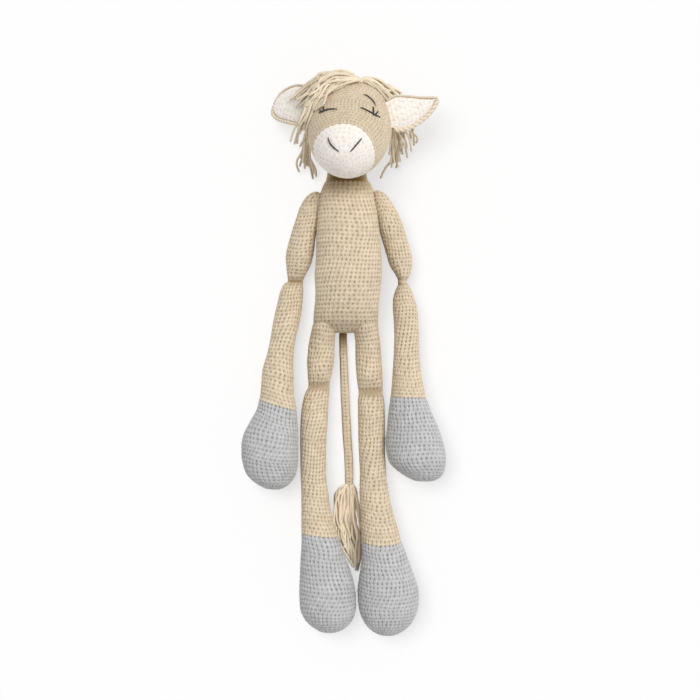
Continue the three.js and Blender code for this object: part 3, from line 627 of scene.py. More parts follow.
# %% Leg sections
right_leg = [
    (-93.8, -29.2, -14.4, 10.9, 0), (-94, -29.4, -14.3, 10.9, 1.4), (-95.4, -30.4, -14.2, 10.9, 4.6),
    (-99, -32.2, -14.2, 11, 8), (-106.5, -34.2, -14.9, 11.4, 10), (-120, -35.6, -15.5, 12.2, 10.6),
    (-138, -35.8, -16.6, 13.4, 10.4), (-156, -35.6, -16.7, 14.8, 10.3), (-174, -35, -14.8, 16.2, 10.9),
    (-192, -34.9, -11.4, 17.7, 12.3), (-201, -34.9, -8.6, 18.5, 13.3), (-205, -34.8, -7.4, 18.8, 13.8),
    (-213, -34.8, -4.4, 19.4, 15.3), (-222, -35.3, -1.4, 20, 17.1), (-230.3, -35.7, 1.8, 20.6, 18.8),
    (-239.3, -36.1, 4.1, 21.1, 20.4), (-247.5, -36.4, 5.6, 21.5, 21.3), (-255.8, -36.2, 6, 21.6, 21.4),
    (-264.8, -34, 4.5, 21.6, 19.8), (-270, -30.4, 1.8, 21.5, 16.4), (-274.5, -24.6, -3.2, 21.5, 10.8),
    (-277.2, -19, -9.4, 21.5, 4.8), (-277.8, -14.2, -14.2, 21.5, 0),
]
left_leg = [
    (-98.2, 8.8, 25.4, 10.9, 0), (-98.4, 8.6, 25.6, 10.9, 1.4), (-99.8, 8.2, 26.2, 10.9, 4.6),
    (-104, 7.6, 27.1, 11.1, 8.2), (-112, 7.6, 27.6, 11.7, 10), (-125, 7.8, 27.7, 12.6, 10.3),
    (-140, 8.2, 27.7, 13.6, 10.2), (-155, 9, 28.4, 14.8, 10.2), (-174, 8.8, 30.6, 16.2, 10.9),
    (-192, 9.8, 34.9, 17.7, 12.6), (-201, 10, 37.6, 18.5, 13.7), (-209, 10.6, 39.6, 19, 14.5),
    (-219, 10.4, 43.6, 19.8, 16.6), (-230.3, 9.4, 47.6, 20.6, 19), (-239.3, 8, 51, 21.1, 20.8),
    (-247.5, 7.2, 52.8, 21.5, 21.4), (-256, 7.8, 52.8, 21.6, 21.5), (-265, 10, 50.4, 21.6, 19.8),
    (-273, 14.6, 45.2, 21.5, 14.4), (-277.6, 20.4, 39, 21.5, 8.2), (-279.4, 25.2, 34.4, 21.5, 3.6),
    (-279.8, 29.8, 29.8, 21.5, 0),
]
for side, sections in (("right", right_leg), ("left", left_leg)):
    print(side, "leg below the knee:", round(sections[0][0] - sections[-1][0], 1), "mm")

# %% [markdown]
# Only the yarn changes on the way down, from beige to grey. One list of sections is therefore split where
# the colour changes, and both skins share the section there. On the real toy that round doesn't lie
# square across the leg, so the rows near it lean.

# %% Shanks and foot hooves
HOOF_DRIFT = -0.45


def split_limb(sections, at_y):
    """The sections above and below a colour change, which both share a section there."""
    y = np.array([s[0] for s in sections])
    shared = tuple(float(np.interp(-at_y, -y, [s[k] for s in sections])) for k in range(5))
    above = [s for s in sections if s[0] > at_y + 1]
    below = [s for s in sections if s[0] < at_y - 1]
    return [*above, shared], [shared, *below]


def slant_at(at_y, sideways, upwards, reach=42):
    """Rows that lie aslant near a colour change, by a share of the distance across and of the height."""

    def lean(y, across, raised):
        near = np.exp(-(((y - at_y) / reach) ** 2))
        return (sideways * across + upwards * raised) * near[:, None]

    return lean


def two_yarns(side, limb, hoof, sections, at_y, sideways, upwards, rows, fewest, hoof_rows, hoof_stitch):
    """A limb below its flat seam: a beige skin, and a grey hoof from the round where the yarn changes."""
    body, hoof = f"{side}_{limb}", f"{side}_{hoof}"
    upper, lower = split_limb(sections, at_y)
    lean = slant_at(at_y, sideways, upwards)
    crochet_piece(body, limb_form(upper, lean), beige_cotton, rows=rows, flat_start=True, fewest=fewest)
    crochet_piece(
        hoof, limb_form(lower, lean), grey_cotton,
        rows=hoof_rows, body=body, nodes=(f"{hoof}_skin",), width=hoof_stitch, drift=HOOF_DRIFT,
    )


shank = dict(rows=39, fewest=18, hoof_rows=27, hoof_stitch=3.3)
two_yarns("right", "lower_leg", "foot_hoof", right_leg, -205, sideways=-0.1, upwards=0.0, **shank)
two_yarns("left", "lower_leg", "foot_hoof", left_leg, -209, sideways=0.0, upwards=-0.2, **shank)

# %% [markdown]
# ## Upper arms
#
# An arm starts as a closed round end that is sewn to the side of the torso, and tapers to a flat seam at
# the elbow. One elbow's seam lies level and the other stands on edge, so the two arms end in different
# ways. That is only a matter of their last sections: one loses its height and the other its width.

# %% Upper arms
right_upper_arm_form = limb_form([
    (52.8, -24, -24, 17.6, 0), (52.4, -26, -22, 17.6, 2.6), (51.2, -28.4, -21, 17.7, 4.8),
    (49, -31, -20.6, 17.8, 6.4), (42, -35.6, -21.2, 17.4, 8.4), (33, -38.9, -22.2, 16.6, 9.6),
    (19.5, -43.2, -24.4, 15.2, 10.6), (6, -46.6, -26.2, 13.4, 11.2), (-3, -46.4, -28.8, 12.2, 10),
    (-9.5, -45.8, -32.2, 11.6, 6.6), (-13, -45.2, -33.8, 11.5, 3.4), (-14.3, -45, -34.2, 11.5, 1.4),
    (-14.5, -44.8, -34.4, 11.5, 0),
])
left_upper_arm_form = limb_form([
    (53.8, 21.6, 21.6, 17.6, 0), (53.4, 19.6, 23.6, 17.6, 2.6), (52.2, 19, 26.2, 17.7, 4.8),
    (50, 19, 28.8, 17.8, 6.4), (42, 20, 34.4, 17.4, 8.4), (33, 21.8, 39.2, 16.6, 9.6),
    (19.5, 24.9, 43.8, 15.2, 10.6), (6, 29, 47.6, 13.4, 11.2), (-3, 32, 48, 12.2, 10.8),
    (-9.5, 36.1, 46.4, 11.7, 9.8), (-13, 38.2, 44.2, 11.5, 8.8), (-14.3, 40.2, 42.2, 11.5, 8.2),
    (-14.5, 41.2, 41.2, 11.5, 8),
])
for side, form in (("right", right_upper_arm_form), ("left", left_upper_arm_form)):
    crochet_piece(f"{side}_upper_arm", form, beige_cotton, rows=25, flat_end=True, fewest=8)

# %% [markdown]
# ## Forearms and hand hooves
#
# A forearm swells from the elbow's seam into its hoof, as a shank does, so the same function makes it.
# The right one's grey rounds lie well aslant, which the lean of its rows gives.

# %% Forearms and hand hooves
right_arm = [
    (-14.5, -44.8, -34.4, 11.5, 0), (-14.7, -45.4, -34.2, 11.5, 1.4), (-16.2, -47.8, -34.2, 11.5, 4.4),
    (-20, -50, -34, 11.6, 7.8), (-30, -52.9, -34.5, 12, 10.2), (-43.5, -55.9, -36.3, 13, 10.5),
    (-57, -58.1, -39.6, 14.2, 10.2), (-70.5, -60.8, -41.1, 15.4, 10.7), (-84, -64.2, -41.1, 16.6, 12.2),
    (-97.5, -65.2, -40.5, 17.7, 13), (-105, -65.9, -39, 18.3, 14.2), (-115.5, -68.6, -38.1, 19.2, 16.5),
    (-124.5, -73.4, -37.5, 20, 19), (-133.5, -78.2, -37.4, 20.7, 20.6), (-142.5, -79.8, -37.4, 21.2, 21.1),
    (-151.5, -79, -37.9, 21.4, 20.4), (-160.5, -75.4, -40.4, 21.4, 17), (-166.2, -68.8, -44.6, 21.4, 11.8),
    (-169.6, -62, -50, 21.4, 5.6), (-170.4, -56, -56, 21.4, 0),
]
left_arm = [
    (-14.5, 41.2, 41.2, 11.5, 8), (-14.7, 40.2, 42.2, 11.5, 8.2), (-16.2, 38.4, 44.6, 11.5, 8.9),
    (-20, 36.4, 47.2, 11.6, 9.7), (-25.5, 34.6, 49.2, 11.8, 10.2), (-34.5, 33.9, 52, 12.4, 10.3),
    (-57, 35, 53.4, 14.3, 10.2), (-75, 34.2, 54, 15.9, 10.9), (-93, 33, 56.6, 17.5, 12.6),
    (-101.5, 32.1, 58.4, 18.2, 13.9), (-115.5, 30.2, 64, 19.5, 17), (-124.5, 29.4, 67.9, 20.3, 19.2),
    (-133.5, 28.2, 70.7, 20.8, 20.9), (-142.5, 28.9, 72.9, 21.3, 21.4), (-151.5, 32, 73, 21.4, 20.2),
    (-157, 38, 71.8, 21.4, 16.4), (-161.5, 45.2, 68.6, 21.4, 11.2), (-163.8, 51, 63.6, 21.4, 5.6),
    (-164.3, 57.6, 57.6, 21.4, 0),
]
forearm = dict(upwards=0.0, fewest=16, hoof_rows=25, hoof_stitch=3.4)
two_yarns("right", "forearm", "hand_hoof", right_arm, -107.5, sideways=-0.3, rows=32, **forearm)
two_yarns("left", "forearm", "hand_hoof", left_arm, -101.5, sideways=-0.03, rows=31, **forearm)

# %% [markdown]
# ## Head and muzzle
#
# The head is an egg worked in rounds from the tip of the snout, which points up and towards the feet. The
# first rounds are white and make the muzzle, in a thicker yarn, and the rest is beige. A UV sphere has
# rounds too, but its poles would be on the wrong axis and its rounds unequal, so the egg is a form like
# the limbs, walked evenly along the snout's axis. On the toy's left cheek the white ends sooner, and
# LEFT_CHEEK draws it in by that angle.

# %% Head and muzzle
HEAD_CENTRE = np.array([1.5, 98.5, 40.1])
HEAD_R = 31.0
HEAD_LONG = 47.0
PITCH, YAW = math.radians(42), math.radians(8)
SNOUT = np.array([-math.sin(YAW) * math.sin(PITCH), -math.cos(YAW) * math.sin(PITCH), math.cos(PITCH)])
CROWN_WAY = np.cross(SNOUT, [1, 0, 0])
CROWN_WAY /= np.linalg.norm(CROWN_WAY)
SIDE_WAY = np.cross(CROWN_WAY, SNOUT)
MUZZLE_EDGE = 29.5
LEFT_CHEEK = 0.13


def egg_form(first, last):
    """The egg between two places along the snout's axis, walked from the first to the last."""
    polar = np.linspace(math.acos(first / HEAD_LONG), math.acos(max(last / HEAD_LONG, -1)), 400)
    step_long = np.hypot(np.gradient(HEAD_LONG * np.cos(polar)), np.gradient(HEAD_R * np.sin(polar)))
    walked = np.cumsum(step_long) - step_long[0]
    walked /= walked[-1]

    def form(share, turn):
        angle = 2 * np.pi * turn - np.pi / 2
        near_edge = 1 - share if first == MUZZLE_EDGE else share
        drawn_in = LEFT_CHEEK * near_edge[:, None] * np.maximum(np.cos(angle), 0)[None] ** 2
        at = np.interp(share, walked, polar)[:, None] - drawn_in
        ring = np.cos(angle)[:, None] * SIDE_WAY + np.sin(angle)[:, None] * CROWN_WAY
        radial = HEAD_R * np.sin(at)[:, :, None] * ring[None]
        return HEAD_CENTRE + HEAD_LONG * np.cos(at)[:, :, None] * SNOUT + radial

    return form


crochet_piece(
    "muzzle", egg_form(HEAD_LONG, MUZZLE_EDGE), white_cotton,
    rows=9, body="head", nodes=("muzzle_skin",), width=4.3, foot_last=False, gain=0.35,
)
# The head's crown side gets a faint painted shade, for the mane's shade on the forehead.
crochet_piece(
    "head", egg_form(MUZZLE_EDGE, -HEAD_LONG), beige_cotton,
    rows=36, width=2.85, foot_last=False, gain=0.5, across=6, drift=-0.5, dark=0.15, dark_rows=80,
)

# %% [markdown]
# ## Neck
#
# A short sleeve of crochet joins the head to the torso. Its upper end nods with the head and its lower
# end turns with the neck inside the torso's top. A rigid sleeve would open a gap at every nod, so this
# one is blended between the two bodies. It lies in the shade of the chin, which is painted on its upper
# side.

# %% Neck
neck_form = limb_form([
    (78, -13.6, 12.6, 26, 14), (70, -14.8, 13.2, 20.5, 15), (63, -16, 14.4, 16.6, 15.6),
    (57, -17, 16.2, 15.9, 15.6), (51, -16.2, 16, 16.2, 15),
])
crochet_piece(
    "neck", neck_form, beige_cotton,
    rows=10, nodes=("neck_seam",), width=3.6, dark=1.5, dark_rows=24,
    blend=("head", "neck", (0.0004, 0.068, 0.016), (0.0004, 0.053, 0.016)),
)

# %% [markdown]
# ## Plied yarn
#
# Loose yarn makes the face, the tassel, the ears' edges, the mane and the shoulder seams. Real yarn is
# two or three plies twisted together. A round bevelled curve would look like wire, so a strand is a grid
# wrapped round a path, with a lobe for each ply that turns as it goes along. Both ends close to a point.
# The path is smoothed first, because yarn does not kink.

# %% A strand
PLY_BUMPS, PLY_LEAN = 14, 3
GROOVE_SHADE = 0.5
NO_PATHS_WAY = (0.3, 0.2, 1.0)


def lengths_along(points):
    return np.concatenate([[0], np.cumsum(np.linalg.norm(np.diff(points, axis=0), axis=1))])


def smooth_path(points, spacing):
    """A smooth path through the points, with a new point at every step of the spacing."""
    points = np.asarray(points, float)
    along = lengths_along(points)
    close = np.linspace(0, along[-1], 200)
    fine = np.stack([running(along, points[:, k], close) for k in range(3)], axis=1)
    walked = lengths_along(fine)
    at = np.linspace(0, walked[-1], max(int(round(walked[-1] / spacing)), 4) + 1)
    return np.stack([np.interp(at, walked, fine[:, k]) for k in range(3)], axis=1)


def strand(bm, points, radius, tone, twist=5.0, plies=3, sides=12, spacing=1.0, lobes=0.22, taper=0.0):
    path = smooth_path(points, spacing)
    way = np.gradient(path, axis=0)
    way /= np.linalg.norm(way, axis=1, keepdims=True)
    first = np.cross(way[0], NO_PATHS_WAY)
    frames = [first / np.linalg.norm(first)]
    for w in way[1:]:
        kept = frames[-1] - w * frames[-1].dot(w)
        frames.append(kept / np.linalg.norm(kept))
    one = np.array(frames)
    two = np.cross(way, one)
    along = np.arange(len(path)) * spacing
    angle = np.linspace(0, 2 * np.pi, sides + 1)
    wave = np.abs(np.cos(plies / 2 * (angle[None] - 2 * np.pi * along[:, None] / twist)))
    thick = radius * (1 - lobes + lobes * wave) * (1 - taper * np.linspace(-1, 1, len(path)) ** 2)[:, None]
    thick[[0, -1]] = 0
    ring = np.cos(angle)[None, :, None] * one[:, None] + np.sin(angle)[None, :, None] * two[:, None]
    places = path[:, None] + thick[:, :, None] * ring
    places[:, -1] = places[:, 0]
    ply = PLY_BUMPS * along[:, None] + PLY_LEAN * angle[None]
    # The hollow value here is painted shade in the grooves between plies.
    wrap_grid(bm, places, hollow=GROOVE_SHADE * (1 - wave) ** 2, tone=tone, ply=ply)


print("a strand of 10 mm has", len(smooth_path([(0, 0, 0), (10, 0, 0)], 1.0)), "rings")

# %% [markdown]
# ## Face
#
# The closed eyes, lashes, brows and nostrils are single stitches of charcoal yarn. Paint on the skin
# would vanish in its relief, so each stitch is a strand that lies on the egg and dips into it at both
# ends. Its points are given as they are seen from above, beside the head's centre, and are set on the egg
# from there.

# %% Embroidery
FACE_YARN, BROW_YARN = 0.6, 0.48
ON_SKIN, DIP, NEAR_END = 0.75, -0.5, 0.6
# A point v beside the head's centre is on the egg where v @ EGG @ v is one.
EGG = np.eye(3) / HEAD_R**2 + np.outer(SNOUT, SNOUT) * (1 / HEAD_LONG**2 - 1 / HEAD_R**2)


def on_head(x, y, lift):
    """The place on the egg's upper side over a point beside its centre, raised off the skin."""
    start = np.array([x, y, 0.0])
    a, b, c = EGG[2, 2], EGG[2] @ start, start @ EGG @ start - 1
    spot = start + [0, 0, (-b + math.sqrt(b * b - a * c)) / a]
    normal = EGG @ spot
    return HEAD_CENTRE + spot + lift * normal / np.linalg.norm(normal)


face = {
    "right_eye": [
        [(-9.6, 9.7), (-13.4, 9.8), (-17.1, 9.4), (-20.3, 8.4), (-22.6, 7.6)],
        [(-19.1, 12.4), (-18.9, 10.6), (-18.7, 8.8)],
        [(-21.9, 10.6), (-21.1, 9.2), (-20, 8)],
    ],
    "left_eye": [
        [(6.9, 10.9), (12, 8.9), (16.3, 6.7), (19.2, 5.4), (21.9, 4.4)],
        [(16.6, 12.5), (16.7, 8.6), (16.8, 5.3)],
        [(20.3, 9.1), (19, 7.3), (17.6, 5.6)],
    ],
    "right_brow": [[(-12, 23.7), (-16.3, 21.5), (-19.5, 18.2)]],
    "left_brow": [[(9.6, 21.8), (14, 19.2), (18.9, 13)]],
    "right_nostril": [[(-15.9, -10.9), (-13.7, -16.1), (-7.9, -22)]],
    "left_nostril": [[(8.6, -11.8), (4.3, -17), (0, -22.1)]],
}
for name, strokes in face.items():
    bm = new_fabric()
    yarn = BROW_YARN if name.endswith("brow") else FACE_YARN
    for i, stroke in enumerate(np.array(stroke) for stroke in strokes):
        after_start, before_end = 0.8 * stroke[[0, -1]] + 0.2 * stroke[[1, -2]]
        first = [on_head(*stroke[0], DIP), on_head(*after_start, NEAR_END)]
        last = [on_head(*before_end, NEAR_END), on_head(*stroke[-1], DIP)]
        points = [*first, *[on_head(x, y, ON_SKIN) for x, y in stroke[1:-1]], *last]
        strand(bm, points, yarn, tone=0.4 + 0.1 * i, twist=3.2, spacing=0.5, taper=0.5)
    finish_piece(bm, f"{name}_stitches", "head", (name,), dark_thread)

# %% [markdown]
# ## Tail
#
# The tail is a narrow crocheted tube with a handful of stitches in each round, sewn on under the torso. A
# plain rope would lack its holes, so it is made as the limbs are. Its root lies in the shade between the
# thighs, which is painted on its upper side.

# %% Tail
tail_form = limb_form([
    (-52.2, -3.8, -3.8, 4.2, 0), (-52.6, -5.6, -2, 4.1, 2), (-55, -6.6, -1, 3.8, 2.9),
    (-75, -6.2, -0.4, 3.7, 3), (-95, -5.6, 0.6, 3.7, 3.1), (-130, -4, 2.5, 3.7, 3.2),
    (-155, -2.4, 3.8, 3.9, 3.2), (-167, -2.2, 3.8, 4.2, 3.2), (-169, -0.8, 2.4, 4.4, 1.6),
    (-169.4, 0.8, 0.8, 4.4, 0),
])
crochet_piece(
    "crocheted_tail", tail_form, beige_cotton,
    rows=44, body="tail", nodes=("tail",), width=3.9, fill=1.0, fewest=5, drift=0.0, dark=1.25,
    dark_rows=9.0,
)

# %% [markdown]
# ## Tassel
#
# The tassel is a bunch of cut yarn that is caught at the tail's end and hangs to a point between the
# feet. A hair system would not export, so every strand is a mesh. A bunch is drawn as two edge strands.
# The others run between those two and cross each other, with their own lengths, heights and waves.

# %% Tassel
TASSEL_YARN = 0.9
TASSEL_TONE = 0.25
OFF_PAPER = 0.2


def bunch(first_edge, last_edge, layers, seed, shortest=0.65, crossing=0.2, sway=1.0, lift=1.9):
    """Paths and tones between two edges of as many points each, with a count of strands for each layer."""
    rng = np.random.default_rng(seed)
    first_edge, last_edge = np.array(first_edge, float), np.array(last_edge, float)
    along = np.linspace(0, 1, len(first_edge))[:, None]
    for layer, count in enumerate(layers):
        for i in range(count):
            start = (i + rng.uniform(0.2, 0.8)) / count
            mix = np.clip(start + rng.normal(0, crossing) * along, -0.05, 1.05)
            points = first_edge * (1 - mix) + last_edge * mix
            points += rng.normal(0, sway, points.shape) * np.minimum(along * 2, 1)
            points[:, 2] += lift * layer
            path = smooth_path(points, 2.5)
            # Lower layers get a darker tone as painted shade, for the little light between strands; the
            # random part is each strand's own tone.
            tone = 0.5 * rng.random() + 0.5 * layer / max(len(layers) - 1, 1)
            yield path[: max(round(len(path) * rng.uniform(shortest, 1.0)), 4)], tone


tassel_edges = (
    [(-1, -167.5, 2), (-6.8, -171.5, 2), (-8.6, -180, 2), (-8.2, -194, 2)]
    + [(-5.6, -205, 2), (-0.6, -219, 1.8), (4.6, -235, 1.6)],
    [(3, -167.5, 2), (6.6, -171.5, 2), (7.2, -180, 2), (8.2, -194, 2)]
    + [(9.8, -205, 2), (9.4, -219, 1.8), (6.2, -236, 1.6)],
)
tassel_layers = (13, 11, 8, 6)
bm = new_fabric()
for path, tone in bunch(*tassel_edges, tassel_layers, 3, shortest=0.6, crossing=0.4, sway=1.3, lift=1.5):
    path[:, 2] = np.maximum(path[:, 2], TASSEL_YARN + OFF_PAPER)
    strand(bm, path, TASSEL_YARN, tone + TASSEL_TONE, lobes=0.3)
finish_piece(bm, "tassel_yarn", "tail", ("tassel",), loose_cotton)

# %% [markdown]
# ## Ears
#
# An ear is two crocheted leaves, a beige back and a smaller white lining. A flat plane cut to the outline
# would have no edge and no stitches, so each leaf is a flattened tube in the ear's own directions: across
# the leaf, out from its root, and up from its face. The left ear lies level and the right one droops.


# %% Ear leaves
def placed(form, origin, across, away, up):
    """A form whose x, y and z run across the leaf, away from its root and up from its face."""
    axes = np.array([across, away, up])
    return lambda share, turn: np.asarray(origin) + form(share, turn) @ axes


def leaf(outline, trim, lift, puff, root):
    """The outline's rows are (out, low edge, high edge); the leaf is drawn in from it by the trim."""
    out, low, high = np.array(outline, float).T
    middle, half = (low + high) / 2, np.maximum((high - low) / 2 - trim, 0)
    out = out * (1 - trim / out[-1])
    out[0] += root
    thick = puff * np.sqrt(half / half.max())
    thick[[0, -1]] = 0
    return limb_form(list(zip(out, middle - half, middle + half, np.full(len(out), lift), thick)))


EAR_DROOP = math.radians(40)
EAR_OUT = (-0.949, 0.314)
ears = {
    "left": (
        [(-1, -11.6, 9.6), (3, -13.4, 10.8), (8, -14.2, 11.2), (16, -12.6, 8.8)]
        + [(24, -9.6, 5.8), (30.5, -5.4, 4), (35, -1, 2.8), (36.8, 1.4, 1.4)],
        (31.25, 108.57, 44.2),
        (-0.253, 0.968, 0),
        (0.968, 0.253, 0),
        (0, 0, 1),
    ),
    "right": (
        [(-1, -11, 7), (3, -14.6, 8.4), (8, -17.8, 9.6), (14, -19.2, 10), (21, -18.6, 10)]
        + [(28, -15.8, 9.6), (33.5, -11.6, 8.2), (36.8, -6.4, 5.6), (38, 0, 0)],
        (-27.84, 108.59, 42.1),
        (EAR_OUT[0] * 0.331, EAR_OUT[0], 0),
        (EAR_OUT[0] * math.cos(EAR_DROOP), EAR_OUT[1] * math.cos(EAR_DROOP), -math.sin(EAR_DROOP)),
        (EAR_OUT[0] * math.sin(EAR_DROOP), EAR_OUT[1] * math.sin(EAR_DROOP), math.cos(EAR_DROOP)),
    ),
}
for side, (outline, *ear_frame) in ears.items():
    for name, yarn, trim, lift, puff, root in (
        ("back", beige_cotton, 0.0, -0.6, 2.2, 0.0),
        ("lining", white_cotton, 1.4, 1.3, 1.9, -1.6),
    ):
        node = f"{side}_ear_{name}"
        crochet_piece(
            f"{node}_leaf", placed(leaf(outline, trim, lift, puff, root), *ear_frame), yarn,
            rows=12, body=f"{side}_ear", nodes=(node,), width=3.6, fill=0.6, gain=0.6, rest=None,
        )

# %% [markdown]
# A thick twisted yarn is whipped round the rim of each ear and holds its two leaves together. On one edge
# it is heavy and on the other thin, as the photograph shows. It is two strands along the outline that the
# leaves are made from, so it stays on their rim.

# %% Ear edges
THIN_RIM = 1.0
HEAVY_RIM = {"left": 2.1, "right": 1.6}
two_ply = dict(plies=2, lobes=0.4)
for side, (outline, origin, *axes) in ears.items():
    low_rim = np.array([(low, out, 0.5) for out, low, high in outline])
    high_rim = np.array([(high, out, 0.2) for out, low, high in outline])
    thick, thin = (low_rim, high_rim) if side == "left" else (high_rim, low_rim)
    heavy = HEAVY_RIM[side]
    bm = new_fabric()
    strand(bm, origin + thick @ np.array(axes), heavy, tone=0.6, twist=3.6 * heavy, sides=16, **two_ply)
    strand(bm, origin + thin @ np.array(axes), THIN_RIM, tone=0.4, twist=4.5, **two_ply)
    finish_piece(bm, f"{side}_ear_edge", f"{side}_ear", (), loose_cotton)

# %% [markdown]
# ## Mane
#
# The mane is cut lengths of plied yarn that are knotted in at a parting on the crown. They fall over the
# ears in bunches. Single strands could be placed by hand, but there are well over a hundred, so each
# bunch is drawn from two edges as the tassel is, with its points beside the head's centre and a count of
# strands for each layer.

# %% Mane bunches
mane = {
    "mane_right_front": [
        (
            [(6, 36, 0), (0, 40.5, 0), (-6.5, 42, 1), (-14.5, 41, 3)]
            + [(-20.5, 39.5, 4), (-27.5, 34, 3), (-35, 28, 0), (-45, 20, -6.5)],
            [(7, 33.8, 4.5), (-1, 31.5, 10), (-7, 29, 12.5), (-12.5, 26, 13.5)]
            + [(-17, 21.5, 15.5), (-20.5, 16.5, 17), (-25, 11.5, 14), (-31, 5, 6)],
            (15, 13, 10, 7),
        ),
        (
            [(-12, 34, 4), (-22, 29, 6), (-30, 20, 6.5), (-36, 9, 4), (-41, -1, -2), (-43, -11, -8)],
            [(-9, 30, 10), (-18, 24, 12), (-25, 15, 12.5), (-29, 6, 10), (-33, -4, 2), (-36, -14, -5)],
            (8, 6, 5),
        ),
    ],
    "mane_right_long": [
        (
            [(-31, 1, 6), (-34, -7, -4), (-36, -16, -18), (-38, -24, -30), (-38, -32, -37)],
            [(-28, -4, 2), (-29, -12, -10), (-28, -20, -24), (-26, -28, -33), (-24, -35, -38)],
            (7, 5),
        ),
    ],
    "mane_left_front": [
        (
            [(8, 36, -2), (12, 38, -4), (20, 36.5, -6), (29, 32, -8), (36, 27, -10), (43, 21, -14)],
            [(8, 34, 3), (12, 33, 4), (17.5, 30, 3), (23, 26, 0), (28, 21, -4), (33, 15, -9)],
            (10, 8, 5),
        ),
    ],
    "mane_left_long": [
        (
            [(28, 26, -4), (38, 16, -7), (45, 3, -9), (48, -1, -11), (49, -6, -14), (48, -12, -22)],
            [(24, 24, -3), (31, 13, -8), (34, 2, -9), (38, -8, -13), (40, -17, -23), (41, -24, -32)],
            (7, 5),
        ),
        (
            [(27, 25, -4), (33, 13, -9), (34, 2, -10), (36, -8, -14), (37, -18, -23)]
            + [(37, -27, -31), (35, -35, -37)],
            [(22, 23, -3), (28, 12, -9), (29, 0, -11), (31, -9, -15), (30, -19, -24)]
            + [(26, -28, -31), (21, -37, -37)],
            (8, 6),
        ),
    ],
    "mane_crown": [
        (
            [(10, 35, 2), (4, 37.5, 0), (-3, 39.5, 0), (-9, 40, 2)],
            [(10, 33, 5), (3, 33.5, 7), (-3, 33, 9), (-8, 31.5, 10)],
            (7, 5),
        ),
    ],
}
print(sum(sum(layers) for bunches in mane.values() for *edges, layers in bunches), "strands in the mane")

# %% [markdown]
# Yarn lies on what is under it. A strand that would run through the head is moved out to its skin, one
# over the drooping ear lies on that, and one that reaches the paper lies there. The lower layers are
# darker than the upper ones, because little light gets between strands.

# %% Mane
MANE_YARN = 0.9
MANE_CONTRAST, MANE_TONE = 1.3, -0.2
EAR_FACE = 3.6


def off_head(point, lift):
    """Moves a point out of the head's egg, so that a strand lies on the skin."""
    v = np.asarray(point, float) - HEAD_CENTRE
    axial = v.dot(SNOUT)
    around = max(v.dot(v) - axial**2, 0) / (HEAD_R + lift) ** 2
    measure = math.sqrt(around + (axial / (HEAD_LONG + lift)) ** 2)
    return HEAD_CENTRE + (v / measure if measure < 1 else v)


def ear_height(x, y):
    """How high the drooping right ear's face is over a place, or minus infinity beside the ear."""
    outline, origin, across, away, up = ears["right"]
    out, low, high = np.array(outline, float).T
    face = np.array(origin) + EAR_FACE * np.array(up)
    aside, along = np.linalg.solve(np.array([across, away])[:, :2].T, [x - face[0], y - face[1]])
    inside = out[0] < along < out[-1] and np.interp(along, out, low) < aside < np.interp(along, out, high)
    return face[2] + along * away[2] if inside else -math.inf


for number, (name, bunches) in enumerate(mane.items()):
    bm = new_fabric()
    for k, edges in enumerate(bunches):
        for path, tone in bunch(*edges, seed=10 * number + k, crossing=0.3, sway=1.1, lift=1.5):
            path = np.array([off_head(p, MANE_YARN) for p in path + HEAD_CENTRE])
            under = [max(ear_height(x, y), OFF_PAPER) for x, y, z in path]
            path[:, 2] = np.maximum(path[:, 2], np.array(under) + MANE_YARN)
            strand(bm, path, MANE_YARN, MANE_CONTRAST * tone + MANE_TONE, lobes=0.3)
    finish_piece(bm, f"{name}_yarn", "head", (name,), loose_cotton)

# %% [markdown]
# ## Elbow and knee seams
#
# At each elbow and knee the tube is sewn flat, and the limb folds there. The two skins only meet in a
# line, which would show as a slit when the joint bends, so a short band of fabric lies in the groove
# between them, reaches into both, and is blended across the joint. Its painted shade is deepest on the
# upper limb's side and fades over its rows.

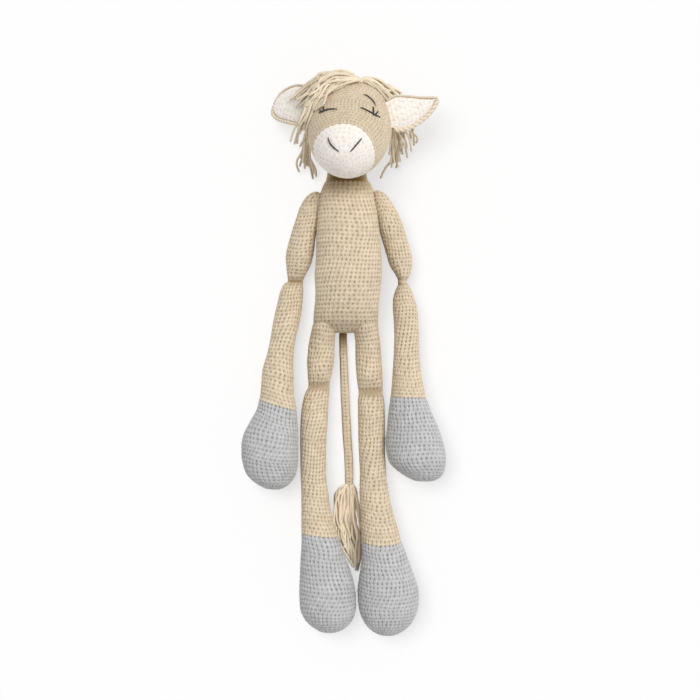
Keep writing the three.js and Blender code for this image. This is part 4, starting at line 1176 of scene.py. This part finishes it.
# %% Elbow and knee seams
SEAM_REACH = 3.4
SEAM_BEND = 2.6
SEAM_BAND_ROWS = 7
BAND_PROFILE = ((1, 0), (0.94, 0.9), (0.4, 1), (-0.4, 1), (-0.94, 0.9), (-1, 0))
# Each seam: the limbs above and below, its middle, its half width and height, and how deep its painted shade
# is.
seams = {
    "right_elbow_seam": ("right_upper_arm", "right_forearm", (-39.6, -14.5, 11.5), 5.7, 2.8, 2),
    "left_elbow_seam": ("left_upper_arm", "left_forearm", (41.2, -14.5, 11.5), 3.4, 8.3, 0.2),
    "right_knee_seam": ("right_thigh", "right_lower_leg", (-21.9, -93.8, 10.9), 8, 3.2, 1.3),
    "left_knee_seam": ("left_thigh", "left_lower_leg", (17.1, -98.2, 10.9), 9, 3.2, 1.2),
}
for name, (above, below, (x, y, z), wide, high, dark) in seams.items():
    parts = [(y + reach * SEAM_REACH, part * wide, part * high) for reach, part in BAND_PROFILE]
    band = [(at, x - half, x + half, z, tall) for at, half, tall in parts]
    ends = [(x * MM, (y + reach) * MM, z * MM) for reach in (SEAM_BEND, -SEAM_BEND)]
    crochet_piece(
        f"{name}_band", limb_form(band), beige_cotton,
        rows=SEAM_BAND_ROWS, nodes=(name,), fill=0.3, gain=0.8, dark=dark, dark_rows=SEAM_BAND_ROWS,
        blend=(above, below, *ends),
    )

# %% [markdown]
# ## Shoulder seams
#
# A few turns of yarn sew each arm to the side of the torso. They are a flat coil between the two skins,
# which hardly shows at rest but fills the gap when the arm is lifted. One strand along a spiral makes it.

# %% Shoulder seams
COIL_POINTS = 60
COIL_Y, COIL_Z = 44.3, 18.3
COIL_YARN = 0.75
coil = np.linspace(0, 5 * np.pi, COIL_POINTS)
spread = np.linspace(1.2, 4.1, COIL_POINTS)
for side, x in (("right", -21.9), ("left", 21.8)):
    ring = (COIL_Y + spread * np.cos(coil), COIL_Z + spread * np.sin(coil))
    seam = f"{side}_shoulder_seam"
    bm = new_fabric()
    strand(bm, np.stack([np.full(COIL_POINTS, x), *ring], axis=1), COIL_YARN, tone=0.3, twist=4.0)
    finish_piece(bm, f"{seam}_coil", f"{side}_shoulder", (seam,), loose_cotton, slot="beige_yarn")
